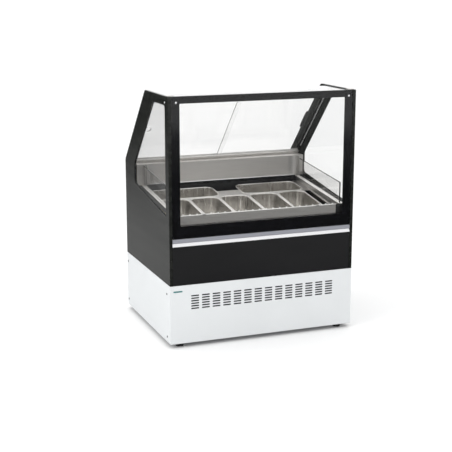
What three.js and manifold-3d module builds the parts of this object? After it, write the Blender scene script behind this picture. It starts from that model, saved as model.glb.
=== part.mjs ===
// Ice cream dipping cabinet: a glazed, ventilated display for scooping ice cream out of seven pans.
// Millimetres, +Z up. Origin on the floor at the middle of the footprint: +X is the customer's right,
// -Y the customer's side (front), +Y the server's side (rear).
import * as THREE from "three";
import { mergeVertices } from "three/addons/utils/BufferGeometryUtils.js";
import Module from "manifold-3d";

// ---- Driving dimensions -------------------------------------------------------------------------
const WIDTH = 1000;
const DEPTH = 762;
const HEIGHT = 1257;
const RIGHT = WIDTH / 2;
const FRONT = -DEPTH / 2;
const REAR = DEPTH / 2;

const GAP = 0.4; // clearance between touching pieces
const SHEET = 2; // thickness of the folded sheets
const PANE = 6; // thickness of the glass

// Base with the machine compartment
const FOOT_HEIGHT = 22;
const FOOT_RADIUS = 20;
const FOOT_PAD = 12;
const STEM_RADIUS = 10;
const FOOT_X = 440;
const FOOT_Y = 340;
const BASE_TOP = 322;
const TRAY_BOTTOM = FOOT_HEIGHT + 2;
const TRAY_HEIGHT = 36;
const GRILLE = { columns: 14, rows: 6, length: 42, height: 7, pitchX: 56.75, pitchZ: 13.1, z: 231.5 };
const REAR_VENT = { columns: 5, rows: 8, length: 90, height: 6, pitchX: 110, pitchZ: 16, z: 190 };
const REAR_SHEET = [REAR - 5, REAR - 3]; // the base's rear panel, with its gland standing proud of it
const GLAND = { x: 400, z: 90, radius: 11, bore: 4.5 };

// Side panels and the body between them
const PANEL_THICKNESS = 16;
const PANEL_TOP = HEIGHT - 2;
const BODY_BOTTOM = 323;
const INNER = RIGHT - PANEL_THICKNESS; // inner face of the side panels
const SPAN = INNER - GAP; // half width of what fits between them
const PANEL_CREST = -5; // where the flat top of a side panel turns down to the rear
const PANEL_REAR_TOP = 846;
const FASCIA_TOP = 518;
const BUMPER_TOP = 556;
const REAR_COVER = REAR - 11; // outer face of the rear cover

// Front glass
const GLASS_BOTTOM = 558;
const WINDOW = { x: 440, bottom: 620, top: 1219 };

// Refrigerated well
const WELL = { x: 441, front: -348, rear: 234, floor: 402 };
const WELL_SHEET = 2;
const RIM_SLOPE = 0.107; // the top edges of the well's side walls rise to the rear
const RIM_AT_ORIGIN = 703.4;
const RISER_Y = 200;
const RISER_BOTTOM = 727;
const WORKTOP = 839;
const FOAM = { x: 480, front: -370, rear: 366, bottom: BASE_TOP + GAP, frontTop: 598 };

// Pans: they sit on a support grid that slopes down to the customer
const PAN = { length: 360, width: 165, depth: 120, rim: 7.5, sheet: 1.2, taper: 8, corner: 38 };
const PAN_SLOPE = 0.14;
const PAN_FRONT = { y: -345, z: 627 };
const PAN_PITCH = 167;
const FIRST_PAN_X = -353.5;
const FRONT_PANS = 5;
const REAR_PAN_X = [-257, 230];
const ROW_GAP = 4;
const GRID_DROP = PAN.sheet + GAP;
const GRID_THICKNESS = 3;

// Rear sliding doors, in a plane parallel to the slanting rear edges of the side panels
const DOOR_TOP = { y: -74.5, z: 1215 };
const DOOR_SLOPE = 1.05;
const DOOR = { start: 10, end: 503, thickness: 5, overlap: 10, edge: 480 };
const INNER_DOOR_Z = -6;
const OUTER_DOOR_Z = 2;
const TRACK_HALF = 9.5;

// Top of the display: the glass lies level with the side panels' tops, the lamp hangs under it
const TOP_GLASS = { x: SPAN - 2.6, y: [FRONT + 11, -86], z: [1245, 1250] };
const LAMP_CHANNEL = { x: 476, y: [FRONT + 12, FRONT + 34], z: [1222.6, 1244.6], wall: 1.5, web: 2 };
const LAMP_TUBE = { x: 468, y: [FRONT + 15, FRONT + 31], z: [1224.6, 1238.6], corner: 5 };
const CATCH = { inner: 464, outer: RIGHT - 3, legBottom: 1226, y: [FRONT + 12, FRONT + 46] };

// ---- Materials ----------------------------------------------------------------------------------
function finish(color, roughness, metalness, opacity = 1) {
  return new THREE.MeshStandardMaterial({
    color,
    roughness,
    metalness,
    opacity,
    transparent: opacity < 1,
  });
}

const white = () => finish(0xe8ecec, 0.45, 0.1);
const black = () => finish(0x26272a, 0.25, 0.2);
const blackPlastic = () => finish(0x1c1c1e, 0.6, 0);
const greyPlastic = () => finish(0x55585c, 0.6, 0);
const stainless = () => finish(0xb4b2ae, 0.32, 1);
const galvanised = () => finish(0x9a9ea1, 0.5, 1);
const aluminium = () => finish(0xc4c6c9, 0.35, 1);
const copper = () => finish(0xb0653c, 0.35, 1);
const glass = () => finish(0xeef4f4, 0.04, 0, 0.2);
const foam = () => finish(0xe5dcb8, 0.9, 0);
const lamp = () => finish(0xfdfdf6, 0.5, 0);
const rubber = () => finish(0x18181a, 0.85, 0);

// ---- Geometry helpers ---------------------------------------------------------------------------
const wasm = await Module();
wasm.setup();

function solidOf(geometry) {
  const bare = geometry.index ? geometry.toNonIndexed() : geometry.clone();
  bare.deleteAttribute("normal");
  bare.deleteAttribute("uv");
  const merged = mergeVertices(bare, 1e-3);
  const mesh = new wasm.Mesh({
    numProp: 3,
    vertProperties: merged.attributes.position.array,
    triVerts: new Uint32Array(merged.index.array),
  });
  return new wasm.Manifold(mesh);
}

function geometryOf(solid) {
  const mesh = solid.getMesh();
  const geometry = new THREE.BufferGeometry();
  geometry.setAttribute("position", new THREE.BufferAttribute(mesh.vertProperties, 3));
  geometry.setIndex(new THREE.BufferAttribute(mesh.triVerts, 1));
  geometry.computeVertexNormals();
  return geometry;
}

function join(...geometries) {
  const solids = geometries.map(solidOf);
  return geometryOf(solids.reduce((sum, next) => sum.add(next)));
}

function cut(body, ...tools) {
  const solids = tools.map(solidOf);
  return geometryOf(solids.reduce((rest, tool) => rest.subtract(tool), solidOf(body)));
}

// A box from its [low, high] pairs.
function box(x, y, z) {
  const geometry = new THREE.BoxGeometry(x[1] - x[0], y[1] - y[0], z[1] - z[0]);
  return geometry.translate((x[0] + x[1]) / 2, (y[0] + y[1]) / 2, (z[0] + z[1]) / 2);
}

function outline(points) {
  return new THREE.Shape(points.map(([a, b]) => new THREE.Vector2(a, b)));
}

// An outline of [a, b, radius] corners, each rounded by its own radius.
function roundedOutline(corners) {
  const shape = new THREE.Shape();
  corners.forEach(([a, b, radius], i) => {
    const corner = new THREE.Vector2(a, b);
    const [before, after] = [corners.at(i - 1), corners[(i + 1) % corners.length]].map(
      ([c, d]) => new THREE.Vector2(c, d).sub(corner).setLength(radius).add(corner),
    );
    if (i === 0) shape.moveTo(before.x, before.y);
    else shape.lineTo(before.x, before.y);
    if (radius > 0) shape.quadraticCurveTo(a, b, after.x, after.y);
  });
  return shape;
}

function rectangle(a, b, radius = 0) {
  return roundedOutline([
    [a[0], b[0], radius],
    [a[1], b[0], radius],
    [a[1], b[1], radius],
    [a[0], b[1], radius],
  ]);
}

const AXIS = {
  x: new THREE.Vector3(1, 0, 0),
  y: new THREE.Vector3(0, 1, 0),
  z: new THREE.Vector3(0, 0, 1),
};

function extrude(shape, depth, curveSegments) {
  return new THREE.ExtrudeGeometry(shape, { depth, bevelEnabled: false, curveSegments });
}

// Extrusions of an outline: (y, z) along X, (x, z) along Y and (x, y) along Z.
function alongX(shape, [low, high], curveSegments = 4) {
  const turn = new THREE.Matrix4().makeBasis(AXIS.y, AXIS.z, AXIS.x);
  return extrude(shape, high - low, curveSegments).applyMatrix4(turn).translate(low, 0, 0);
}

function alongY(shape, [low, high], curveSegments = 4) {
  const turn = new THREE.Matrix4().makeBasis(AXIS.x, AXIS.z, AXIS.y.clone().negate());
  return extrude(shape, high - low, curveSegments).applyMatrix4(turn).translate(0, high, 0);
}

function alongZ(shape, [low, high], curveSegments = 4) {
  return extrude(shape, high - low, curveSegments).translate(0, 0, low);
}

// A turned piece from its (radius, height) profile, which runs upwards on the outside.
function turned(profile, segments) {
  return new THREE.LatheGeometry(profile.map(([r, h]) => new THREE.Vector2(r, h)), segments);
}

function turnedZ(profile, segments = 20) {
  return turned(profile, segments).rotateX(Math.PI / 2);
}

function cylinderY(radius, [low, high], segments = 20) {
  const profile = [[0, low], [radius, low], [radius, high], [0, high]];
  return turned(profile, segments);
}

// A body of stacked rings with as many points in each, closed at both ends.
function stackedRings(rings) {
  const count = rings[0].length;
  const positions = rings.flat(2);
  const triangles = [];
  for (let level = 0; level + 1 < rings.length; level += 1) {
    for (let i = 0; i < count; i += 1) {
      const [low, lowNext] = [level * count + i, level * count + ((i + 1) % count)];
      triangles.push(low, lowNext, low + count);
      triangles.push(lowNext, lowNext + count, low + count);
    }
  }
  const last = (rings.length - 1) * count;
  for (let i = 1; i + 1 < count; i += 1) {
    triangles.push(0, i + 1, i);
    triangles.push(last, last + i, last + i + 1);
  }
  const geometry = new THREE.BufferGeometry();
  geometry.setAttribute("position", new THREE.Float32BufferAttribute(positions, 3));
  geometry.setIndex(triangles);
  geometry.computeVertexNormals();
  return geometry;
}

function roundedRing(halfX, halfY, radius, z, stepsPerCorner = 3) {
  const ring = [];
  for (let corner = 0; corner < 4; corner += 1) {
    const centreX = (corner === 0 || corner === 3 ? 1 : -1) * (halfX - radius);
    const centreY = (corner < 2 ? 1 : -1) * (halfY - radius);
    for (let step = 0; step <= stepsPerCorner; step += 1) {
      const angle = (Math.PI / 2) * (corner + step / stepsPerCorner);
      ring.push([centreX + radius * Math.cos(angle), centreY + radius * Math.sin(angle), z]);
    }
  }
  return ring;
}

// ---- The assembly -------------------------------------------------------------------------------
const cabinet = new THREE.Group();

// Everything on the pan deck: local y runs up the slope from the front edge of the front pans.
const deck = new THREE.Group();
deck.position.set(0, PAN_FRONT.y, PAN_FRONT.z);
deck.rotation.x = Math.atan(PAN_SLOPE);
cabinet.add(deck);

// Everything in the door plane: local y runs down the slope from the top track, local z outwards.
const doorPlane = new THREE.Group();
doorPlane.position.set(0, DOOR_TOP.y, DOOR_TOP.z);
doorPlane.rotation.x = -Math.atan(DOOR_SLOPE);
cabinet.add(doorPlane);

function part(name, geometry, material, parent = cabinet) {
  const mesh = new THREE.Mesh(geometry, material);
  mesh.name = name;
  parent.add(mesh);
  return mesh;
}

const SIDES = [["left", -1], ["right", 1]];

// An [low, high] pair on the left (-1) or right (1) of the middle plane.
function onSide(sign, near, far) {
  return sign > 0 ? [near, far] : [-far, -near];
}

const rimHeight = (y) => RIM_AT_ORIGIN + RIM_SLOPE * y;

// ---- Base ---------------------------------------------------------------------------------------
// Boxes that cut a panel's rows and columns of air slots, through the depth y.
function slotCutters(vent, y) {
  const cutters = [];
  for (let column = 0; column < vent.columns; column += 1) {
    const x = (column - (vent.columns - 1) / 2) * vent.pitchX;
    for (let row = 0; row < vent.rows; row += 1) {
      const z = vent.z + (row - (vent.rows - 1) / 2) * vent.pitchZ;
      const spanX = [x - vent.length / 2, x + vent.length / 2];
      cutters.push(box(spanX, y, [z - vent.height / 2, z + vent.height / 2]));
    }
  }
  return cutters;
}

function baseTray() {
  const halfX = RIGHT - 4;
  const halfY = REAR - 6;
  const top = TRAY_BOTTOM + TRAY_HEIGHT;
  const outer = box([-halfX, halfX], [-halfY, halfY], [TRAY_BOTTOM, top]);
  const inside = box(
    [-halfX + SHEET, halfX - SHEET],
    [-halfY + SHEET, halfY - SHEET],
    [TRAY_BOTTOM + SHEET, top + 1],
  );
  part("base_tray", cut(outer, inside), galvanised());
}

function basePanels() {
  const height = [FOOT_HEIGHT, BASE_TOP];
  const front = box([-RIGHT, RIGHT], [FRONT, FRONT + SHEET], height);
  const grille = slotCutters(GRILLE, [FRONT - 1, FRONT + SHEET + 1]);
  part("base_front_grille", cut(front, ...grille), white());
  for (const [side, sign] of SIDES) {
    const skin = onSide(sign, RIGHT - SHEET, RIGHT);
    const panel = box(skin, [FRONT + SHEET + GAP, REAR], height);
    part(`base_${side}_panel`, panel, white());
  }
  const halfX = RIGHT - SHEET - GAP;
  const back = box([-halfX, halfX], REAR_SHEET, height);
  const vents = slotCutters(REAR_VENT, [REAR_SHEET[0] - 1, REAR_SHEET[1] + 1]);
  const gland = cylinderY(GLAND.radius, [REAR_SHEET[0], REAR], 16).translate(GLAND.x, 0, GLAND.z);
  const bore = cylinderY(GLAND.bore, [REAR_SHEET[0] - 1, REAR + 1], 12).translate(GLAND.x, 0, GLAND.z);
  part("base_rear_panel", cut(join(back, gland), bore, ...vents), white());
}

function feet() {
  const profile = [
    [0, 0],
    [FOOT_RADIUS - 2, 0],
    [FOOT_RADIUS, 2],
    [FOOT_RADIUS, FOOT_PAD],
    [STEM_RADIUS, FOOT_PAD + 3],
    [STEM_RADIUS, TRAY_BOTTOM - GAP],
    [0, TRAY_BOTTOM - GAP],
  ];
  for (const [side, signX] of SIDES) {
    for (const [end, signY] of [["front", -1], ["rear", 1]]) {
      const foot = part(`foot_${end}_${side}`, turnedZ(profile), rubber());
      foot.position.set(signX * FOOT_X, signY * FOOT_Y, 0);
    }
  }
}

// ---- Condensing unit in the base ----------------------------------------------------------------
const CONDENSER = { x: [-330, -60], y: [-350, -290], z: [75, 300], fins: 28, fin: 3 };
const SHROUD_DEPTH = 34;
const CONDENSER_FAN = { x: -195, z: 188, radius: 92, blades: 5 };
const MOTOR = { radius: 34, length: 56 };
const COMPRESSOR = { x: 170, y: 60, radius: 100, foot: 70, neck: 50, height: 184 };

// A block of fins: a comb outline with its spine along one side.
function finShape([start, end], [spine, tip], fins, thickness) {
  const pitch = (end - start - thickness) / (fins - 1);
  const root = spine + (tip - spine) * 0.25;
  const points = [[start, spine]];
  for (let i = 0; i < fins; i += 1) {
    const a = start + i * pitch;
    if (i > 0) points.push([a, root]);
    points.push([a, tip], [a + thickness, tip]);
    if (i < fins - 1) points.push([a + thickness, root]);
  }
  points.push([end, spine]);
  return outline(points);
}

// A rotor about Y: a round hub with flat blades set at an angle.
const BLADE = { thickness: 1.8, angle: 28 };

function fan(name, { x, z, radius, blades }, y) {
  const hub = cylinderY(radius * 0.28, y, 16);
  const pieces = [hub];
  const chord = radius * 0.55;
  for (let i = 0; i < blades; i += 1) {
    const thick = [-BLADE.thickness / 2, BLADE.thickness / 2];
    const blade = box([-chord / 2, chord / 2], thick, [radius * 0.2, radius]);
    blade.rotateZ(THREE.MathUtils.degToRad(BLADE.angle));
    blade.rotateY((i * 2 * Math.PI) / blades);
    blade.translate(0, (y[0] + y[1]) / 2, 0);
    pieces.push(blade);
  }
  const mesh = part(name, join(...pieces), aluminium());
  mesh.position.set(x, 0, z);
}

function condensingUnit() {
  const fins = finShape(CONDENSER.x, [CONDENSER.y[1], CONDENSER.y[0]], CONDENSER.fins, CONDENSER.fin);
  part("condenser_coil", alongZ(fins, CONDENSER.z), aluminium());

  const { x, z, radius } = CONDENSER_FAN;
  const standing = TRAY_BOTTOM + SHEET + GAP;
  const front = CONDENSER.y[1] + GAP;
  const back = front + SHROUD_DEPTH;
  const plate = box(CONDENSER.x, [front, back], CONDENSER.z);
  const throat = cylinderY(radius + 6, [front - 1, back + 1], 28).translate(x, 0, z);
  const motor = cylinderY(MOTOR.radius, [back + 4, back + 4 + MOTOR.length], 20).translate(x, 0, z);
  const armMiddle = (MOTOR.radius + radius) / 2 + 2;
  const arms = [-1, 1].map((sign) => {
    const span = [z + sign * armMiddle - 42, z + sign * armMiddle + 42];
    return box([x - 6, x + 6], [back - 2, back + 8], span);
  });
  const legs = box([x - 60, x + 60], [front, back], [standing, CONDENSER.z[0] + 1]);
  part("condenser_fan_shroud", join(cut(plate, throat), motor, ...arms, legs), galvanised());
  fan("condenser_fan", CONDENSER_FAN, [front + 6, back - 6]);

  const can = [
    [0, 0],
    [COMPRESSOR.foot, 0],
    [COMPRESSOR.foot, 14],
    [COMPRESSOR.radius - 4, 40],
    [COMPRESSOR.radius, 100],
    [COMPRESSOR.radius - 12, 150],
    [COMPRESSOR.neck, COMPRESSOR.height - 8],
    [0, COMPRESSOR.height],
  ];
  const compressor = part("compressor", turnedZ(can, 24), blackPlastic());
  compressor.position.set(COMPRESSOR.x, COMPRESSOR.y, standing);
}

// ---- Upper body ---------------------------------------------------------------------------------
function insulatedTub() {
  const wall = WELL_SHEET + GAP;
  const body = outline([
    [FOAM.front, FOAM.bottom],
    [FOAM.rear, FOAM.bottom],
    [FOAM.rear, WORKTOP - SHEET - GAP],
    [RISER_Y + 4, WORKTOP - SHEET - GAP],
    [RISER_Y + 4, rimHeight(RISER_Y) - wall],
    [WELL.front - wall, rimHeight(WELL.front) - wall],
    [WELL.front - wall, FOAM.frontTop],
    [FOAM.front, FOAM.frontTop],
  ]);
  const hollow = outline([
    [WELL.front - wall, WELL.floor - wall],
    [WELL.rear + wall, WELL.floor - wall],
    [WELL.rear + wall, RISER_BOTTOM],
    [RISER_Y + 3, RISER_BOTTOM],
    [RISER_Y + 3, HEIGHT],
    [WELL.front - wall, HEIGHT],
  ]);
  const cavityX = WELL.x + wall;
  const tub = cut(alongX(body, [-FOAM.x, FOAM.x]), alongX(hollow, [-cavityX, cavityX]));
  part("insulated_tub", tub, foam());
}

function tankLiner() {
  const top = RISER_BOTTOM - GAP;
  const section = (front, rear, floor, extra) =>
    outline([
      [front, floor],
      [rear, floor],
      [rear, top + extra],
      [RISER_Y, rimHeight(RISER_Y) + extra],
      [front, rimHeight(front) + extra],
    ]);
  const outerX = WELL.x + WELL_SHEET;
  const outside = section(
    WELL.front - WELL_SHEET,
    WELL.rear + WELL_SHEET,
    WELL.floor - WELL_SHEET,
    0,
  );
  const inside = section(WELL.front, WELL.rear, WELL.floor, 50);
  const flange = outline([
    [WELL.front - WELL_SHEET, rimHeight(WELL.front - WELL_SHEET) - WELL_SHEET],
    [RISER_Y - GAP, rimHeight(RISER_Y) - WELL_SHEET],
    [RISER_Y - GAP, rimHeight(RISER_Y - GAP)],
    [WELL.front - WELL_SHEET, rimHeight(WELL.front - WELL_SHEET)],
  ]);
  const frontNotch = box(
    [-WELL.x - 1, WELL.x + 1],
    [WELL.front - WELL_SHEET - 1, WELL.front + 1],
    [rimHeight(WELL.front) - 32, HEIGHT],
  );
  const tub = cut(alongX(outside, [-outerX, outerX]), alongX(inside, [-WELL.x, WELL.x]));
  const flanges = SIDES.map(([, sign]) => alongX(flange, onSide(sign, WELL.x + 0.5, FOAM.x)));
  part("tank_liner", cut(join(tub, ...flanges), frontNotch), stainless());
}

// Stainless fascia behind the front glass; its folded top edge is a comb that takes the air back.
const LIP = { left: -438, right: 414, bottom: 601, top: 668, pitch: 37, notch: 14 };

function frontLip() {
  const y = WELL.front - WELL_SHEET - GAP;
  const fold = outline([
    [y - SHEET, LIP.bottom],
    [y, LIP.bottom],
    [y, LIP.top - SHEET],
    [WELL.front - 1, LIP.top - SHEET],
    [WELL.front - 1, LIP.top],
    [y - SHEET, LIP.top],
  ]);
  const teeth = Math.floor((LIP.right - LIP.left) / LIP.pitch);
  const notches = [];
  for (let i = 0; i < teeth; i += 1) {
    const middle = LIP.left + (i + 0.5) * LIP.pitch;
    notches.push(
      box(
        [middle - LIP.notch / 2, middle + LIP.notch / 2],
        [y - SHEET + 1, WELL.front],
        [LIP.top - 5, LIP.top + 1],
      ),
    );
  }
  part("front_lip", cut(alongX(fold, [LIP.left, LIP.right]), ...notches), stainless());
}

function frontFascia() {
  const panel = box([-SPAN, SPAN], [FRONT + 2, FRONT + 4], [BODY_BOTTOM + 1, FASCIA_TOP - GAP]);
  part("front_lower_panel", panel, black());

  const back = FOAM.front - GAP;
  const middle = (FASCIA_TOP + BUMPER_TOP) / 2;
  const bulge = FASCIA_TOP + 9;
  const profile = new THREE.Shape();
  profile.moveTo(back, FASCIA_TOP);
  profile.lineTo(FRONT + 3, FASCIA_TOP);
  profile.quadraticCurveTo(FRONT, FASCIA_TOP + 1, FRONT, bulge);
  profile.quadraticCurveTo(FRONT, middle, FRONT + 3, middle);
  profile.lineTo(FRONT + 1.5, middle + 1);
  profile.lineTo(FRONT + 1.5, BUMPER_TOP);
  profile.lineTo(back, BUMPER_TOP);
  part("bumper_profile", alongX(profile, [-SPAN, SPAN], 4), aluminium());
}

const SIDE_WINDOW = { front: -328, rear: 207, top: 1211, crest: -134, shoulder: 853, heel: 741, toe: 664 };

// The clear window in a side panel, shrunk all round by an inset.
function sideWindow(inset) {
  const { front, rear, top, crest, shoulder, heel, toe } = SIDE_WINDOW;
  const sloped = inset * 0.4;
  return roundedOutline([
    [front + inset, toe + inset, 8],
    [front + inset, top - inset, 20],
    [crest - sloped, top - inset, 14],
    [rear - inset, shoulder - sloped, 14],
    [rear - inset, heel + inset, 24],
  ]);
}

function sidePanels() {
  for (const [side, sign] of SIDES) {
    const shape = roundedOutline([
      [FRONT, BODY_BOTTOM, 0],
      [FRONT, PANEL_TOP, 5],
      [PANEL_CREST, PANEL_TOP, 12],
      [REAR, PANEL_REAR_TOP, 12],
      [REAR, BODY_BOTTOM, 0],
    ]);
    const thickness = onSide(sign, INNER, RIGHT);
    const throughCut = onSide(sign, INNER - 1, RIGHT + 1);
    const panel = cut(alongX(shape, thickness, 3), alongX(sideWindow(0), throughCut, 3));
    part(`${side}_side_panel`, panel, black());
    const paneX = onSide(sign, INNER + 5, INNER + 5 + PANE);
    part(`${side}_side_glass`, alongX(sideWindow(GAP), paneX, 3), glass());
  }
}

function frontGlass() {
  const halfX = SPAN - 1.5;
  const paneY = [FRONT, FRONT + PANE];
  const pane = box([-halfX, halfX], paneY, [GLASS_BOTTOM, PANEL_TOP]);
  part("front_glass", pane, glass());
  const frameY = [paneY[1] + GAP, paneY[1] + 4];
  const plate = box([-halfX, halfX], frameY, [GLASS_BOTTOM, PANEL_TOP]);
  const view = rectangle([-WINDOW.x, WINDOW.x], [WINDOW.bottom, WINDOW.top], 4);
  const clearing = alongY(view, [frameY[0] - 1, frameY[1] + 1], 2);
  part("front_glass_frame", cut(plate, clearing), black());
}

// Catches that hold the top corners of the tilting front glass, hooked over the side panels.
function glassCatches() {
  const underside = PANEL_TOP + GAP;
  for (const [side, sign] of SIDES) {
    const corners = [
      [CATCH.inner, HEIGHT],
      [CATCH.outer, HEIGHT],
      [CATCH.outer, underside],
      [SPAN, underside],
      [SPAN, CATCH.legBottom],
      [SPAN - SHEET, CATCH.legBottom],
      [SPAN - SHEET, underside],
      [CATCH.inner, underside],
    ];
    const hook = outline(corners.map(([x, z]) => [sign * x, z]));
    part(`glass_catch_${side}`, alongY(hook, CATCH.y), stainless());
  }
}

function topOfDisplay() {
  const pane = box([-TOP_GLASS.x, TOP_GLASS.x], TOP_GLASS.y, TOP_GLASS.z);
  part("top_glass", pane, glass());
  const { y, z, wall, web } = LAMP_CHANNEL;
  const channel = outline([
    [y[0], z[0]],
    [y[0] + wall, z[0]],
    [y[0] + wall, z[1] - web],
    [y[1] - wall, z[1] - web],
    [y[1] - wall, z[0]],
    [y[1], z[0]],
    [y[1], z[1]],
    [y[0], z[1]],
  ]);
  part("lamp_channel", alongX(channel, [-LAMP_CHANNEL.x, LAMP_CHANNEL.x]), aluminium());
  const tube = rectangle(LAMP_TUBE.y, LAMP_TUBE.z, LAMP_TUBE.corner);
  part("lamp_tube", alongX(tube, [-LAMP_TUBE.x, LAMP_TUBE.x], 2), lamp());
}

// ---- Rear sliding doors -------------------------------------------------------------------------
// A track with one groove for each door; its grooves open towards the doors. Places are down the slope.
const TOP_TRACK = { back: -32, mouth: 20, floor: 4, wedge: 0 }; // reaches up to the top glass
const BOTTOM_TRACK = { back: 510, mouth: 490, floor: 506, wedge: 17 };
const PLAY = 0.6; // at each side of a door in its groove

function trackShape({ back, mouth, floor, wedge }) {
  const [inner, outer] = [INNER_DOOR_Z, OUTER_DOOR_Z].map((z) => [z - PLAY, z + DOOR.thickness + PLAY]);
  return outline([
    [back, -TRACK_HALF],
    [mouth, -TRACK_HALF],
    [mouth, inner[0]],
    [floor, inner[0]],
    [floor, inner[1]],
    [mouth, inner[1]],
    [mouth, outer[0]],
    [floor, outer[0]],
    [floor, outer[1]],
    [mouth, outer[1]],
    [mouth, TRACK_HALF],
    [back + wedge, TRACK_HALF],
  ]);
}

const FINGER_RING = { x: -455, y: 235, radius: 19, wall: 4, lip: 0.8 };
const HANDLE = { x: [427, 447], y: [163, 291], proud: 14, ramp: 15 };
const SIDE_CHANNEL = { y: [22, 486], z: [-10, 11], sheet: 1.6, flange: 8 };

function doorTracks() {
  for (const [name, track] of [["door_top_track", TOP_TRACK], ["door_bottom_track", BOTTOM_TRACK]]) {
    part(name, alongX(trackShape(track), [-SPAN, SPAN]), aluminium(), doorPlane);
  }
  const { y, z, sheet, flange } = SIDE_CHANNEL;
  for (const [side, sign] of SIDES) {
    const corners = [
      [SPAN, z[0]],
      [SPAN, z[1]],
      [SPAN - flange, z[1]],
      [SPAN - flange, z[1] - sheet],
      [SPAN - sheet, z[1] - sheet],
      [SPAN - sheet, z[0] + sheet],
      [SPAN - flange, z[0] + sheet],
      [SPAN - flange, z[0]],
    ];
    const channel = outline(corners.map(([x, height]) => [sign * x, height]));
    part(`door_side_channel_${side}`, alongY(channel, y), aluminium(), doorPlane);
  }
}

function leftDoor() {
  const { x, y, radius, wall, lip } = FINGER_RING;
  const sheet = rectangle([-DOOR.edge, DOOR.overlap], [DOOR.start, DOOR.end], 3);
  const fingerHole = new THREE.Path();
  fingerHole.absarc(x, y, radius + GAP, 0, 2 * Math.PI);
  sheet.holes.push(fingerHole);
  const z = [INNER_DOOR_Z, INNER_DOOR_Z + DOOR.thickness];
  part("rear_door_left", alongZ(sheet, z, 8), glass(), doorPlane);
  const profile = [
    [radius - wall, z[0] - lip],
    [radius, z[0] - lip],
    [radius, z[1] + lip],
    [radius - wall, z[1] + lip],
    [radius - wall, z[0] - lip],
  ];
  const ring = part("door_left_finger_ring", turnedZ(profile, 24), glass(), doorPlane);
  ring.position.set(x, y, 0);
}

function rightDoor() {
  const sheet = rectangle([-DOOR.overlap, DOOR.edge], [DOOR.start, DOOR.end], 3);
  const z = [OUTER_DOOR_Z, OUTER_DOOR_Z + DOOR.thickness];
  part("rear_door_right", alongZ(sheet, z), glass(), doorPlane);
  const [start, end] = HANDLE.y;
  const foot = z[1] + GAP;
  const crest = z[1] + HANDLE.proud;
  const bow = new THREE.Shape();
  bow.moveTo(start, foot);
  bow.lineTo(end, foot);
  bow.quadraticCurveTo(end - HANDLE.ramp / 5, crest, end - HANDLE.ramp, crest);
  bow.lineTo(start + HANDLE.ramp, crest);
  bow.quadraticCurveTo(start + HANDLE.ramp / 5, crest, start, foot);
  part("door_right_handle", alongX(bow, HANDLE.x, 4), blackPlastic(), doorPlane);
}

// ---- Server's side ------------------------------------------------------------------------------
const CONSOLE = { x: [180, 440], z: [745, 805], y: [REAR_COVER + GAP, REAR_COVER + 7] };
const THERMOSTAT = { x: [200, 276], z: [758, 792] };
const ROCKER_X = [330, 385];
const ROCKER = { width: 22, height: 30, tilt: 8, pivotY: REAR - 5.2 };
const BUTTONS = ["down", "set", "up"];
const BUTTON = { middleX: 244, pitch: 13, width: 8, z: [762, 767], back: 2, proud: 1.4 };

function rearCovers() {
  const worktop = outline([
    [RISER_Y, RISER_BOTTOM],
    [RISER_Y + SHEET, RISER_BOTTOM],
    [RISER_Y + SHEET, WORKTOP - SHEET],
    [REAR_COVER, WORKTOP - SHEET],
    [REAR_COVER, WORKTOP],
    [RISER_Y, WORKTOP],
  ]);
  part("rear_worktop", alongX(worktop, [-SPAN, SPAN]), stainless());
  const cover = box(
    [-SPAN, SPAN],
    [REAR_COVER - SHEET, REAR_COVER],
    [BODY_BOTTOM + 1, WORKTOP - SHEET - GAP],
  );
  part("rear_body_panel", cover, black());
}

function controls() {
  const middleZ = (CONSOLE.z[0] + CONSOLE.z[1]) / 2;
  const seatY = CONSOLE.y[0] + 2;
  const pocket = (x, z) => box(x, [seatY, REAR + 1], z);
  const thermostatPocket = pocket(
    [THERMOSTAT.x[0] - GAP, THERMOSTAT.x[1] + GAP],
    [THERMOSTAT.z[0] - GAP, THERMOSTAT.z[1] + GAP],
  );
  const rockerPockets = ROCKER_X.map((x) =>
    pocket(
      [x - ROCKER.width / 2 - 1, x + ROCKER.width / 2 + 1],
      [middleZ - ROCKER.height / 2 - 1, middleZ + ROCKER.height / 2 + 1],
    ),
  );
  const panel = cut(box(CONSOLE.x, CONSOLE.y, CONSOLE.z), thermostatPocket, ...rockerPockets);
  part("control_panel", panel, greyPlastic());

  const faceY = REAR - 2;
  const buttonX = (i) => BUTTON.middleX + (i - 1) * BUTTON.pitch;
  const buttonSpan = (i, play) => [
    buttonX(i) - BUTTON.width / 2 - play,
    buttonX(i) + BUTTON.width / 2 + play,
  ];
  const seats = BUTTONS.map((_, i) =>
    box(buttonSpan(i, GAP), [faceY - 2 * BUTTON.back, faceY + 1], [BUTTON.z[0] - GAP, BUTTON.z[1] + GAP]),
  );
  const housing = box(THERMOSTAT.x, [seatY + GAP, faceY], THERMOSTAT.z);
  part("thermostat", cut(housing, ...seats), blackPlastic());
  BUTTONS.forEach((name, i) => {
    const cap = box(buttonSpan(i, 0), [faceY - BUTTON.back, faceY + BUTTON.proud], BUTTON.z);
    part(`thermostat_button_${name}`, cap, greyPlastic());
  });

  // Each rocker's face is a shallow V about its pivot, drawn with its upper half pressed in.
  const half = ROCKER.height / 2;
  const face = outline([
    [-1, -half],
    [3, -half],
    [1, 0],
    [3, half],
    [-1, half],
    [-1.5, 0],
  ]);
  ["light_switch", "power_switch"].forEach((name, i) => {
    const x = [-ROCKER.width / 2, ROCKER.width / 2];
    const rocker = part(name, alongX(face, x), blackPlastic());
    rocker.position.set(ROCKER_X[i], ROCKER.pivotY, middleZ);
    rocker.rotation.x = THREE.MathUtils.degToRad(ROCKER.tilt);
  });
}

// Clear side guards that stand on the flanges of the well.
const GUARD = { x: [443, 447], front: -335, rear: RISER_Y - 2, frontTop: 775, rearTop: 830 };

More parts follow.
